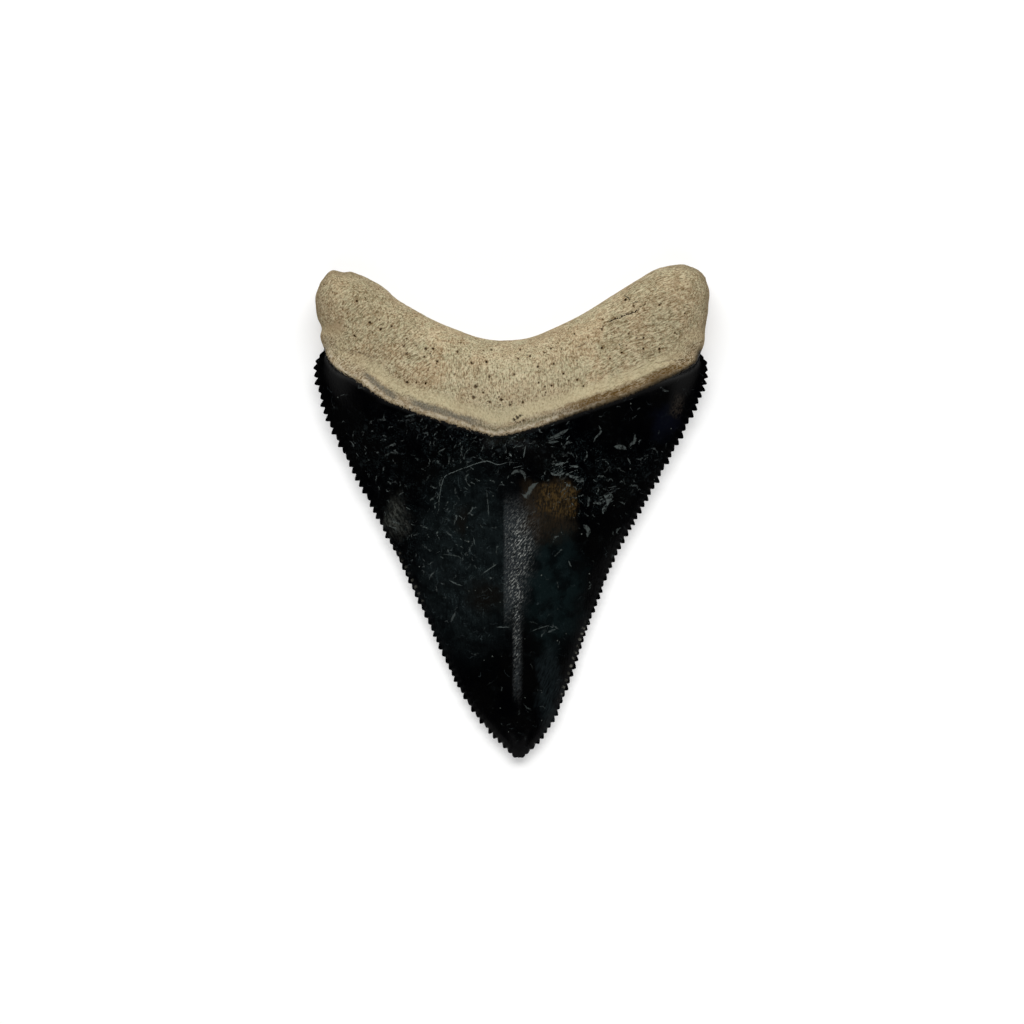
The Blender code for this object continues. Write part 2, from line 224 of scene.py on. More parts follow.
# Lower face: the same with a flatter crown and an arch between the lobes, cut by the shallow bowls
# that end in the three flats on which the tooth rests.
def backHeight(x, y, fromNeck, fromRim):
    rim = rimHeight(x, y)
    crown = (rim - np.interp(y, *bellyLine.T)) * (1 - np.abs(acrossCrown(x, y)) ** tooth["bellyPower"])
    hollow = tooth["hollow"] + tooth["arch"] * bell(x, tooth["archWidth"]) + 0.5 * rootLumps(x, y)
    inside = 1 - np.clip(fromRim / tooth["rootRadius"], 0.0, 1.0)
    root = (rim - hollow) * np.sqrt(1 - inside ** 2)
    height = rim - joinAtNeck(crown, root, fromNeck, fromRim, tooth["bladeBack"])
    for rx, ry in tooth["rests"]:
        bowl = tooth["restCurve"] * ((x - rx) ** 2 + (y - ry) ** 2) - tooth["restCut"]
        height = np.minimum(height, np.maximum(bowl, 0.0))
    return height


# Plan of the root, a patch between the curves low(u), high(u), left(w) and right(w):
# (1-w) low + w high + (1-u) left + u right, less its four corners blended by u and w.
def rootPlan(u, w, face):
    u, w = np.broadcast_arrays(u, w)
    neck = necks[face]
    left, right = alongCurve(leftSide, w), alongCurve(rightSide, w)
    low, high = alongCurve(neck, u), alongCurve(topEdge, u)
    u, w = u[..., None], w[..., None]
    corner = ((1 - u) * (1 - w) * neck[0] + u * (1 - w) * neck[-1]
              + (1 - u) * w * topEdge[0] + u * w * topEdge[-1])
    return (1 - w) * low + w * high + (1 - u) * left + u * right - corner


serration = {
    "left": 66, "right": 65,      # points on each cutting edge
    "leftSeed": 5, "rightSeed": 9,
    "depth": 0.54, "foot": 0.45,  # height of a point, and the part of it that is cut into the edge
    "peak": 0.6,                  # where along its pitch a point stands out most
    # height along the edge, from tip to neck
    "leftSize": [(0.0, 0.85), (0.2, 0.72), (0.42, 0.68), (0.6, 0.9), (1.0, 1.0)],
    "rightSize": [(0.0, 0.7), (0.42, 0.7), (0.55, 1.1), (0.75, 1.0), (1.0, 1.0)],
    "round": 1.5,                 # 1 is a straight-sided point, more is blunter
    "fadeTip": 1.2, "fadeNeck": 3.6, "least": 0.28,  # they get smaller over these lengths
    "wander": 0.135, "driftSteps": 40,  # unevenness of their spacing
    "wear": 0.65, "wearPower": 1.5,     # unevenness of their height
    "lean": 0.07, "leanFade": 0.05,  # shift of the points towards the tip, and where it fades at both ends
    "rows": (0.0, 0.14, 0.32, 0.52, 0.76),  # insets of the rows of points behind the edge
    "rowsShare": 0.3, "rowsTurn": 0.88,     # most of the crown's width they take; where they turn in
    "follow": (1.0, 0.75, 0.45, 0.15),      # how far each row follows the edge's points
    "groove": 0.07,               # depth of the grooves behind the notches
}


# Edge wave at fractions f of its length from tip to neck: in each pitch a point 1 - (1 - t)^round,
# t rising over the peak part and falling over the rest. The pitch drifts at random along the edge,
# and each point is worn by its own random share.
def serrationWave(f, side, length):
    rng = np.random.default_rng(serration[side + "Seed"])
    count, spare = serration[side], 3
    drift = np.cumsum(rng.normal(0, serration["wander"], serration["driftSteps"]))
    phase = count * f + np.interp(f, np.linspace(0, 1, len(drift)), drift)
    tall = 1 - serration["wear"] * rng.random(count + 3 * spare) ** serration["wearPower"]
    number = np.clip(np.floor(phase).astype(int) + spare, 0, len(tall) - 1)
    p = 1 - (phase - np.floor(phase))
    t = np.where(p < serration["peak"], p / serration["peak"], (1 - p) / (1 - serration["peak"]))
    point = 1 - (1 - t) ** serration["round"]
    fade = smoothStep(0, serration["fadeTip"], f * length)
    fade = fade * smoothStep(0, serration["fadeNeck"], (1 - f) * length)
    fade = serration["least"] + (1 - serration["least"]) * fade
    size = np.interp(f, *np.transpose(serration[side + "Size"]))
    return (point * tall[number] - serration["foot"]) * serration["depth"] * size * fade, point


# Direction of a cutting edge towards the neck, and its outward normal.
def edgeFrame(side, f):
    curve = leftEdge if side == "left" else rightEdge
    step = 0.004
    run = alongCurve(curve, np.minimum(f + step, 1)) - alongCurve(curve, np.maximum(f - step, 0))
    run = run / np.linalg.norm(run, axis=-1, keepdims=True)
    return run, np.stack([-run[:, 1], run[:, 0]], -1) * (1 if side == "left" else -1)


# Shift of a cutting edge: the wave along its outward normal and a little of it towards the tip.
# The second result says how deep in a notch each place is.
def edgeShift(side, f):
    length = lengthAlong(leftEdge if side == "left" else rightEdge)[-1]
    run, outward = edgeFrame(side, f)
    wave, point = serrationWave(f, side, length)
    ends = serration["leanFade"]
    lean = serration["lean"] * point * smoothStep(0.0, ends, f) * smoothStep(0.0, ends, 1 - f)
    shift = outward * wave[:, None] - run * lean[:, None]
    return shift * ((f > 0) & (f < 1))[:, None], 1 - point


# Width of the crown between its cutting edges at the fraction w of their length.
def crownWidth(w):
    return np.linalg.norm(alongCurve(rightEdge, w) - alongCurve(leftEdge, w), axis=-1)


# Row k of points behind a cutting edge: the edge moved along its inward normal by the row's inset,
# less near the tip. Over the last part the direction turns into that of the neck.
def behindEdge(side, f, k, face):
    curve = leftEdge if side == "left" else rightEdge
    neck = necks[face] if side == "left" else necks[face][::-1]
    room = serration["rowsShare"] * crownWidth(f)
    inset = serration["rows"][k] * np.minimum(1.0, room / serration["rows"][-1])
    square = -edgeFrame(side, f)[1] * inset[:, None]
    along = alongCurve(neck, inset / lengthAlong(neck)[-1]) - neck[0]
    turning = smoothStep(serration["rowsTurn"], 1.0, f)[:, None]
    return alongCurve(curve, f) + square + (along - square) * turning


# Plan of the crown between its innermost rows: (1-u) left + u right, and w^2 times the sag of the
# neck below its own chord.
def crownPlan(u, w, face):
    neck = necks[face]
    first = serration["rows"][-1] / lengthAlong(neck)[-1]
    left, right = [behindEdge(side, w, -1, face)[:, None] for side in ("left", "right")]
    u = u[:, None]
    sag = alongCurve(neck, first + (1 - 2 * first) * u[:, 0]) - ((1 - u) * left[-1] + u * right[-1])
    return (1 - u) * left + u * right + w[:, None, None] ** 2 * sag


grid = {
    "edgeSteps": 528,  # along each cutting edge
    "front": {"rows": 132, "columns": 160, "rootRows": 78, "rootColumns": 306},
    "back": {"rows": 88, "columns": 84, "rootRows": 34, "rootColumns": 150},
    # parts of the root's patch with closer rows and columns, and how many of them
    "topInset": 0.016, "topRows": 7, "sideInset": 0.005, "sideColumns": 6,
    "rootLength": 43.0, "rootWidth": 9.0,  # rough size of the root's patch, for its grain
    "sharpAngle": 75,  # in degrees; corners above it stay sharp
}


# Levels of the root's rows and columns: even, but closing up as (k / n)^2 towards the rim.
def rootLevels(count):
    closing = grid["topInset"] * (np.arange(grid["topRows"], 0, -1) / grid["topRows"]) ** 2
    rows = np.concatenate([np.linspace(0.0, 1 - grid["topInset"], count["rootRows"])[1:-1], 1 - closing])
    closing = grid["sideInset"] * (np.arange(1, grid["sideColumns"] + 1) / grid["sideColumns"]) ** 2
    middle = np.linspace(grid["sideInset"], 1 - grid["sideInset"], count["rootColumns"])[1:-1]
    return rows, np.concatenate([closing, middle, 1 - closing[::-1]])


# Two triangles in each cell of a grid of point numbers.
def gridFaces(index):
    a, b, c, d = index[:-1, :-1], index[:-1, 1:], index[1:, 1:], index[1:, :-1]
    return np.stack([a, b, c, a, c, d], -1).reshape(-1, 3)


# Triangles between two rows, the second to the left of the first: their segments are taken in the
# order of their middles, each with the point that the other row has reached.
def zipRows(a, placeA, b, placeB):
    middles = np.concatenate([(placeA[1:] + placeA[:-1]) / 2, (placeB[1:] + placeB[:-1]) / 2])
    order = np.argsort(middles, kind="stable")
    onA = (order < len(a) - 1).astype(int)
    i = np.cumsum(onA) - onA
    j = np.cumsum(1 - onA) - (1 - onA)
    third = np.where(onA == 1, a[np.minimum(i + 1, len(a) - 1)], b[np.minimum(j + 1, len(b) - 1)])
    return np.stack([a[i], third, b[j]], 1)


blocks = []


# Place in the grain at the fractions u along and w across the root.
def grainAt(u, w):
    return np.stack([grid["rootLength"] * u, grid["rootWidth"] * w], -1)


# Adds points to the mesh and returns their numbers: plan place, face (1 upper, -1 lower, 0 rim),
# place in the grain, depth in a notch.
def addPoints(plan, face, grain=None, notch=0.0):
    size = plan.shape[:-1]
    first = sum(len(block) for block in blocks)
    grain = plan if grain is None else grain
    blocks.append(np.column_stack([plan.reshape(-1, 2), np.full(int(np.prod(size)), face),
                                   grain.reshape(-1, 2), np.broadcast_to(notch, size).reshape(-1)]))
    return first + np.arange(int(np.prod(size))).reshape(size)


edgeF = np.linspace(0, 1, grid["edgeSteps"] + 1)
shifts = {}
rim = {}
tipPoint = addPoints(leftEdge[:1], 0)
sideRows, topColumns = rootLevels(grid["front"])
for side, curve, upCurve, u in (("left", leftEdge, leftSide, 0.0), ("right", rightEdge, rightSide, 1.0)):
    shift, notch = edgeShift(side, edgeF)
    shifts[side] = shift, notch
    edge = addPoints((alongCurve(curve, edgeF) + shift)[1:], 0, None, notch[1:])
    rim[side] = np.concatenate([tipPoint, edge])
    levels = np.append(sideRows, 1.0)
    grain = grainAt(np.full(len(levels), u), levels)
    rim[side + "Side"] = np.concatenate([rim[side][-1:], addPoints(alongCurve(upCurve, levels), 0, grain)])
top = addPoints(alongCurve(topEdge, topColumns), 0, grainAt(topColumns, np.ones(len(topColumns))))
roundRoot = np.concatenate([rim["leftSide"], top, rim["rightSide"][::-1]])
sidePlace = np.concatenate([[0.0], sideRows, [1.0]])
roundPlace = np.concatenate([sidePlace, 1 + topColumns, 3 - sidePlace[::-1]])


# One face between the shared rims: the crown's grid from the tip to the neck, rows of points behind
# each cutting edge, the root's grid, and zips between them all.
def buildFace(face, sign):
    made = []
    crownW = np.linspace(0, 1, grid[face]["rows"] + 1)[1:]
    spread = np.linspace(0, 1, grid[face]["columns"] + 1)
    inner = addPoints(crownPlan(spread, crownW, face), sign)
    inner = np.vstack([np.full((1, inner.shape[1]), tipPoint[0]), inner])
    innerW = np.append(0.0, crownW)
    made.append(gridFaces(inner))
    bands = {}
    for side in ("left", "right"):
        shift, notch = shifts[side]
        band = [rim[side]]
        for k in (1, 2, 3):
            plan = behindEdge(side, edgeF[1:], k, face) + shift[1:] * serration["follow"][k]
            band.append(np.concatenate([tipPoint, addPoints(plan, sign, None, notch[1:] * (1 - k / 4))]))
        bands[side] = np.stack(band, 1)
    made.append(gridFaces(bands["left"]))
    made.append(zipRows(inner[:, 0], innerW, bands["left"][:, -1], edgeF))
    made.append(gridFaces(bands["right"][:, ::-1]))
    made.append(zipRows(bands["right"][:, -1], edgeF, inner[:, -1], innerW))
    rows, columns = rootLevels(grid[face])
    u, w = np.meshgrid(columns, rows)
    root = addPoints(rootPlan(u, w, face), sign, grainAt(u, w))
    made.append(gridFaces(root))
    neckRow = np.concatenate([bands["left"][-1], inner[-1], bands["right"][-1, ::-1]])
    behind = np.array(serration["rows"][1:]) / lengthAlong(necks[face])[-1]
    behind, inside = behind[:-1], behind[-1] + (1 - 2 * behind[-1]) * spread
    neckPlace = np.concatenate([[0.0], behind, inside, 1 - behind[::-1], [1.0]])
    made.append(zipRows(neckRow, neckPlace, root[0], columns))
    innerRound = np.concatenate([root[:, 0], root[-1, 1:-1], root[::-1, -1]])
    innerPlace = np.concatenate([rows, 1 + columns[1:-1], 3 - rows[::-1]])
    made.append(zipRows(innerRound, innerPlace, roundRoot, roundPlace))
    made = np.concatenate(made)
    return made if sign == 1 else made[:, ::-1]


print("tooth: laying out the two faces")
faces = np.concatenate([buildFace("front", 1), buildFace("back", -1)])
faces = faces[(faces != np.roll(faces, 1, axis=1)).all(axis=1)]
layout = np.concatenate(blocks)
plan, upper, grain, notch = layout[:, :2], layout[:, 2], layout[:, 3:5], layout[:, 5]
x, y = plan.T
print("tooth:", len(layout), "points and", len(faces), "triangles")

fromRim, _, rimPlace = nearestOn(plan, outline)
fromRim[upper == 0] = 0.0
neckEnds = np.where(x < 0, leftSide[0, 1], rightSide[0, 1])
fromNeck = y - neckEnds
for name, sign in (("front", 1), ("back", -1)):
    chosen = upper == sign
    away = nearestOn(plan[chosen], necks[name])[0]
    above = y[chosen] > np.interp(x[chosen], *necks[name].T)
    fromNeck[chosen] = np.where(above, away, -away)
height = np.where(upper >= 0, frontHeight(x, y, fromNeck, fromRim), backHeight(x, y, fromNeck, fromRim))
height = np.where(upper == 0, rimHeight(x, y), height)
points = np.column_stack([x, y, height])


# Normals at the points: the sum of the cross products of the triangles that meet there.
def normalsOf(points, faces):
    across = np.cross(points[faces[:, 1]] - points[faces[:, 0]], points[faces[:, 2]] - points[faces[:, 0]])
    total = np.zeros_like(points)
    for k in range(3):
        np.add.at(total, faces[:, k], across)
    return total / np.maximum(np.linalg.norm(total, axis=1, keepdims=True), 1e-12)


wear = {
    "unevenness": ((3.0, 0.10), (1.1, 0.05)),  # sizes and heights of the root's lumps
    "fibre": (0.34, 1.2, 0.035),       # across, along and height of the root's fibres
    "enamel": (2.5, 0.03), "enamelFade": 1.5,  # size and height of the enamel's waves, less at the rim
    "seeds": {"lumps": 11, "fibre": 23, "enamel": 31, "front": 3, "back": 4},
    "rootFrom": (0.0, 0.6),            # the root's wear starts between these distances from the neck
    "porous": (1.6, 2.8),              # the bone turns porous between these distances from the neck
    "pores": 34, "lowerPores": 70, "poreSize": (0.05, 0.1), "poreDepth": (0.08, 0.22), "poreSteep": 1.3,
    "poreArea": ((0.03, 0.97), (0.28, 0.93)),  # parts of the root's length and width with random pores
    "crackDepth": 0.14, "crackWidth": 0.12, "crackTaper": 0.08, "scratchTaper": 0.25,
    "restKeep": (1.6, 3.2),            # the wear starts between these distances from a rest
    # larger pores of the upper face, as (x, y, radius)
    "largePores": [(-3.89, 13.68, 0.17), (-4.11, 12.49, 0.16), (-2.38, 11.95, 0.13), (-1.09, 12.17, 0.14),
                   (-0.11, 11.62, 0.14), (1.31, 11.95, 0.11), (-14.28, 20.06, 0.14), (-13.09, 20.38, 0.11),
                   (-15.47, 20.72, 0.13), (-11.78, 18.22, 0.13), (-10.39, 18.22, 0.11),
                   (-11.46, 17.36, 0.14), (-9.4, 17.9, 0.12), (-8.55, 17.9, 0.11), (-8.12, 16.49, 0.12),
                   (-5.85, 17.57, 0.13), (-4.32, 16.29, 0.13), (-2.7, 16.39, 0.12), (-2.16, 17.79, 0.1),
                   (-11.46, 14.22, 0.13), (-10.39, 14.22, 0.1), (-9.4, 14.1, 0.12), (-2.38, 14.76, 0.13),
                   (0.33, 14.98, 0.12), (2.06, 17.03, 0.1), (2.92, 15.84, 0.11), (4.65, 16.17, 0.11),
                   (3.03, 14.1, 0.1), (4.43, 13.79, 0.1), (5.74, 15.09, 0.11), (7.24, 14.44, 0.1),
                   (7.9, 13.79, 0.1), (9.96, 20.06, 0.11), (9.96, 18, 0.1), (10.82, 16.82, 0.1),
                   (12.12, 17.46, 0.1), (12.88, 19.52, 0.11), (14.5, 19.09, 0.1), (14.5, 17.9, 0.1),
                   (16.23, 17.9, 0.1), (12.55, 23.31, 0.12), (13.42, 22.65, 0.11), (0.97, 17.79, 0.11),
                   (4.33, 17.9, 0.11)],
}
# cracks of the root, as (half width, darkness, points)
cracks = [
    (0.08, 1, [(10.65, 20.82), (11.3, 21.14), (11.62, 21.22), (11.95, 21.29), (12.08, 21.46), (12.43, 21.56),
               (12.76, 21.76), (13, 21.76), (13.28, 21.87), (13.52, 21.88), (13.65, 22.11), (13.84, 22.16),
               (14.07, 22.39)]),
    (0.06, 0.8, [(14, 22.47), (14.33, 22.61), (14.81, 22.82)]),
    (0.06, 0.7, [(13.36, 22.9), (13.68, 23.03), (13.91, 23.2)]),
    (0.08, 0.9, [(12.48, 23.81), (12.77, 23.58), (13.13, 23.32)]),
    (0.08, 0.9, [(9.7, 20.09), (9.99, 20.25), (10.25, 20.57)]),
    (0.05, 0.5, [(15.1, 25.23), (15.46, 24.85), (15.98, 24.2)]),
    (0.05, 0.6, [(17.37, 16.77), (18.82, 16.74), (20.36, 16.56)]),
    (0.07, 0.5, [(17.77, 19.64), (18.34, 19.51), (19.07, 19.54)]),
    (0.07, 0.8, [(7.15, 18.02), (7.79, 18.34), (8.33, 18.67)]),
    (0.05, 0.4, [(15.7, 16.28), (17.43, 16.56), (19.15, 16.28)]),
    (0.05, 0.5, [(-17.97, 17.91), (-16.66, 17.47), (-15.04, 16.82)]),
    (0.05, 0.5, [(-19.59, 18.23), (-18.73, 17.8), (-17.21, 17.26)]),
]
# pale scratches and etched marks of the enamel, as (half width, paleness, points)
scratches = [
    (0.055, 0.7, [(-8.39, -0.74), (-8.01, 0.18), (-7.93, 1.42), (-7.7, 2.81), (-7.31, 3.89), (-6.0, 4.51),
                  (-4.77, 4.97), (-3.68, 5.36), (-2.6, 5.59), (-1.44, 5.2), (-0.44, 5.43), (1.03, 5.4)]),
    (0.08, 0.6, [(1.57, 7.29), (1.33, 5.9)]),
    (0.06, 0.5, [(1.41, 7.29), (0.64, 7.13)]),
    (0.16, 0.9, [(-0.21, 6.44), (0.02, 6.13)]),
    (0.12, 0.5, [(9.06, 7.67), (9.29, 8.21), (9.91, 8.83), (9.6, 9.6)]),
    (0.3, 0.55, [(11.37, 7.21), (12.22, 7.13), (12.76, 6.9)]),
    (0.22, 0.5, [(13.0, 7.36), (13.61, 7.75), (13.69, 8.52)]),
    (0.12, 0.5, [(7.98, 5.59), (8.36, 6.21), (8.28, 6.75)]),
    (0.1, 0.4, [(12.84, 6.05), (13.23, 5.28)]),
    (0.15, 0.65, [(4.5, 4.97), (5.2, 5.28), (6.05, 5.43)]),
    (0.16, 0.7, [(6.51, 5.05), (7.44, 4.97)]),
    (0.13, 0.6, [(4.19, 4.51), (4.66, 4.12), (5.43, 4.12), (6.05, 4.43)]),
    (0.15, 0.65, [(5.43, 4.66), (6.35, 4.04), (6.82, 3.81), (7.59, 3.89)]),
    (0.16, 0.5, [(7.28, 3.35), (8.05, 3.43)]),
    (0.16, 0.5, [(9.52, 3.89), (10.22, 3.97)]),
    (0.24, 0.65, [(10.22, 1.88), (10.68, 1.42), (10.68, 0.65)]),
    (0.2, 0.65, [(9.44, 0.95), (10.06, 0.95)]),
    (0.12, 0.7, [(10.14, 0.41), (10.14, -0.13)]),
    (0.12, 0.5, [(10.83, 2.19), (11.3, 1.57)]),
    (0.16, 0.5, [(8.52, 1.73), (8.59, 0.95), (8.36, 0.49)]),
    (0.28, 0.5, [(7.9, -1.36), (8.52, -1.98), (8.36, -2.75)]),
    (0.1, 0.5, [(6.35, -5.38), (6.59, -6.0)]),
    (0.07, 0.55, [(-3.38, -7.0), (-2.45, -6.3), (-1.52, -5.69)]),
    (0.09, 0.6, [(-6.93, -7.46), (-6.31, -7.85), (-5.38, -8.16)]),
    (0.06, 0.55, [(-1.68, -12.71), (-0.13, -12.71)]),
    (0.07, 0.35, [(2.18, -13.18), (3.27, -12.79), (4.35, -12.48)]),
    (0.14, 0.4, [(4.04, -13.33), (4.81, -12.95)]),
    (0.09, 0.45, [(-9.09, -7.54), (-8.94, -7.08), (-8.47, -6.61)]),
    (0.08, 0.35, [(-7.7, -4.68), (-6.0, -4.84), (-5.38, -5.22)]),
    (0.08, 0.4, [(-4.15, -2.75), (-3.99, -3.68)]),
    (0.16, 0.35, [(-6.7, -12.17), (-6.16, -11.09)]),
    (0.06, 0.35, [(-2.76, 2.65), (-2.6, 1.42), (-2.45, -0.74)]),
    (0.3, 0.45, [(1.1, 2.04), (1.72, 1.73), (2.18, 2.65), (2.96, 3.27)]),
    (0.22, 0.4, [(-0.13, 4.04), (0.64, 4.51), (1.41, 4.2), (1.49, 3.43)]),
    (0.2, 0.45, [(4.11, 8.06), (4.81, 8.29), (5.58, 8.68), (6.35, 9.14)]),
    (0.14, 0.4, [(3.88, 7.6), (5.27, 7.75)]),
    (0.1, 0.4, [(-9.71, 8.68), (-9.09, 8.75)]),
    (0.08, 0.45, [(-8.01, 6.59), (-7.16, 7.05)]),
    (0.1, 0.4, [(12.22, -1.67), (11.61, -2.13), (11.91, -2.44)]),
    (0.08, 0.4, [(10.76, 2.65), (11.61, 2.88)]),
]


farAway = 9.0  # stands for the distance where no mark or pore is near


# Line marks: the signed distance to the nearest line, the plain distance, the line's half width,
# which tapers to nothing over the fraction ends at both, and its strength.
def lineMarks(plan, lines, ends):
    signed = np.full(len(plan), farAway)
    away = np.full(len(plan), farAway)
    width = np.zeros(len(plan))
    strength = np.zeros(len(plan))
    for halfWidth, power, corners in lines:
        curve = curveThrough(corners, 8)
        distance, side, place = nearestOn(plan, curve)
        length = lengthAlong(curve)[-1]
        taper = smoothStep(0, ends, place / length) * smoothStep(0, ends, 1 - place / length)
        closer = distance < away
        away = np.where(closer, distance, away)
        signed = np.where(closer, distance * side, signed)
        width = np.where(closer, halfWidth * taper, width)
        strength = np.where(closer, power, strength)
    return signed, away, width, strength


# Dents: the sum of -depth * exp(-(distance / radius)^2) over pores. With them comes the place seen
# from the nearest pore, in radii, and its plain distance.
def poreDents(plan, pores):
    deep = np.zeros(len(plan))
    seen = np.full((len(plan), 2), farAway)
    away = np.full(len(plan), farAway)
    for px, py, radius, depth in pores:
        off = plan - (px, py)
        distance = np.linalg.norm(off, axis=1)
        deep = deep - depth * bell(distance, radius)
        closer = distance < away
        seen = np.where(closer[:, None], off / radius, seen)
        away = np.where(closer, distance, away)
    return deep, seen, away


# Random pores in the root of one face: places on its patch, away from the rim and the neck.
def randomPores(face, count):
    rng = np.random.default_rng(wear["seeds"][face])
    along, across = [rng.uniform(*part, count) for part in wear["poreArea"]]
    spots = rootPlan(along, across, face)
    radius = rng.uniform(*wear["poreSize"], count)
    depth = rng.uniform(*wear["poreDepth"], count)
    return np.column_stack([spots, radius, depth])


print("tooth: wearing the surface")
normals = normalsOf(points, faces)
seeds = wear["seeds"]
root = smoothStep(*wear["rootFrom"], fromNeck)
porous = smoothStep(*wear["porous"], fromNeck)
lift = np.zeros(len(points))
for size, rise in wear["unevenness"]:
    lift += root * rise * roughField(points, size, seeds["lumps"] + int(10 * size))
across, along, rise = wear["fibre"]
fibres = np.column_stack([grain[:, 0] / across, grain[:, 1] / along, upper * 7.0])
lift += porous * rise * roughField(fibres, 1.0, seeds["fibre"])
size, rise = wear["enamel"]
waves = rise * roughField(points, size, seeds["enamel"])
lift += (1 - root) * waves * smoothStep(0, wear["enamelFade"], fromRim)
poreSeen = np.full((len(points), 2), farAway)
poreAway = np.full(len(points), farAway)
largePores = [(px, py, radius, radius * wear["poreSteep"]) for px, py, radius in wear["largePores"]]
for sign, pores in ((1, np.vstack([largePores, randomPores("front", wear["pores"])])),
                    (-1, randomPores("back", wear["lowerPores"]))):
    chosen = (upper == sign) & (fromNeck > 0)
    deep, poreSeen[chosen], poreAway[chosen] = poreDents(plan[chosen], pores)
    lift[chosen] += deep
empty = (farAway, farAway, 0.0, 0.0)
markSide, markAway, markWidth, markPower = [np.full(len(points), value) for value in empty]
for part, lines, taper, deep in ((fromNeck > 0, cracks, wear["crackTaper"], wear["crackDepth"]),
                                 (fromNeck <= 0, scratches, wear["scratchTaper"], 0.0)):
    chosen = (upper == 1) & part
    marks = lineMarks(plan[chosen], lines, taper)
    markSide[chosen], markAway[chosen], markWidth[chosen], markPower[chosen] = marks
    lift[chosen] -= deep * marks[3] * bell(marks[1], wear["crackWidth"]) * (marks[2] > 0.01)
lift -= serration["groove"] * notch * (upper != 0)
for rx, ry in tooth["rests"]:
    lift *= np.where(upper == -1, smoothStep(*wear["restKeep"], np.hypot(x - rx, y - ry)), 1.0)
points = points + normals * (lift * (upper != 0))[:, None]
points[:, 2] = np.maximum(points[:, 2], 0.0)


unwrap = {
    "steps": 24,         # steps of the outline over which its outward direction is averaged
    "sideReach": 1.2,    # how far the root's round sides are drawn outwards
    "sideFrom": (0.0, 2.0),  # they are from the first to the second distance from the neck on
    "lowerShift": 33.5,  # how far beside the upper face the lower one lies
    "corner": (-23.8, -40.5), "span": 81.0,  # the square that fills the map
}


# Map for the finish: both faces seen from above, side by side, the lower one turned head to tail so
# that the two fit closely. The root's sides are drawn outwards by reach * (1 - sqrt(1 - inside^2)),
# along the outline's normal, which is the mean over some steps.
def finishMap():
    length = lengthAlong(outline)
    n = unwrap["steps"]
    smooth = np.cumsum(np.vstack([outline[-n - 1:-1], outline, outline[1:n + 1]]), axis=0)
    smooth = (smooth[n:] - smooth[:-n]) / n
    run = np.gradient(smooth[n // 2:n // 2 + len(outline)], axis=0)
    outward = np.stack([run[:, 1], -run[:, 0]], -1) / np.linalg.norm(run, axis=1, keepdims=True)
    push = np.stack([np.interp(rimPlace, length, outward[:, k]) for k in (0, 1)], -1)
    inside = 1 - np.clip(fromRim / tooth["rootRadius"], 0.0, 1.0)
    reach = unwrap["sideReach"] * (1 - np.sqrt(1 - inside ** 2)) * smoothStep(*unwrap["sideFrom"], fromNeck)
    flat = plan + push * reach[:, None]
    turned = np.stack([flat[:, 0] + unwrap["lowerShift"], -flat[:, 1]], -1)
    return [(place - np.array(unwrap["corner"])) * (1 / unwrap["span"]) for place in (flat, turned)]


# Puts the arrays into a mesh with float attributes and a map for each corner.
def makeTooth(name):
    mesh = bpy.data.meshes.new(name)
    mesh.vertices.add(len(points))
    mesh.vertices.foreach_set("co", (points * mm).astype(np.float32).ravel())
    mesh.loops.add(faces.size)
    mesh.loops.foreach_set("vertex_index", faces.astype(np.int32).ravel())
    mesh.polygons.add(len(faces))
    mesh.polygons.foreach_set("loop_start", np.arange(0, faces.size, 3, dtype=np.int32))
    mesh.update(calc_edges=True)
    mesh.validate()
    if len(mesh.polygons) != len(faces):
        raise RuntimeError("the tooth's mesh has faulty faces")
    values = {"neck": fromNeck, "rim": fromRim, "face": upper, "notch": notch, "poreAway": poreAway,
              "poreX": poreSeen[:, 0], "poreY": poreSeen[:, 1], "markSide": markSide, "markAway": markAway,
              "markWidth": markWidth, "markPower": markPower}
    for key, value in values.items():
        attribute = mesh.attributes.new(key, "FLOAT", "POINT")
        attribute.data.foreach_set("value", value.astype(np.float32))
    onUpper, onLower = finishMap()
    corner = faces.ravel()
    isUpper = np.repeat(upper[faces].sum(1) > 0, 3)
    layer = mesh.uv_layers.new(name="OFBake")
    place = np.where(isUpper[:, None], onUpper[corner], onLower[corner])
    layer.data.foreach_set("uv", place.astype(np.float32).ravel())
    mesh.shade_smooth()
    mesh.set_sharp_from_angle(angle=math.radians(grid["sharpAngle"]))
    made = bpy.data.objects.new(name, mesh)
    bpy.context.scene.collection.objects.link(made)
    return made


fossil = makeTooth("fossilTooth")
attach(fossil, "root")
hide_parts("tooth")


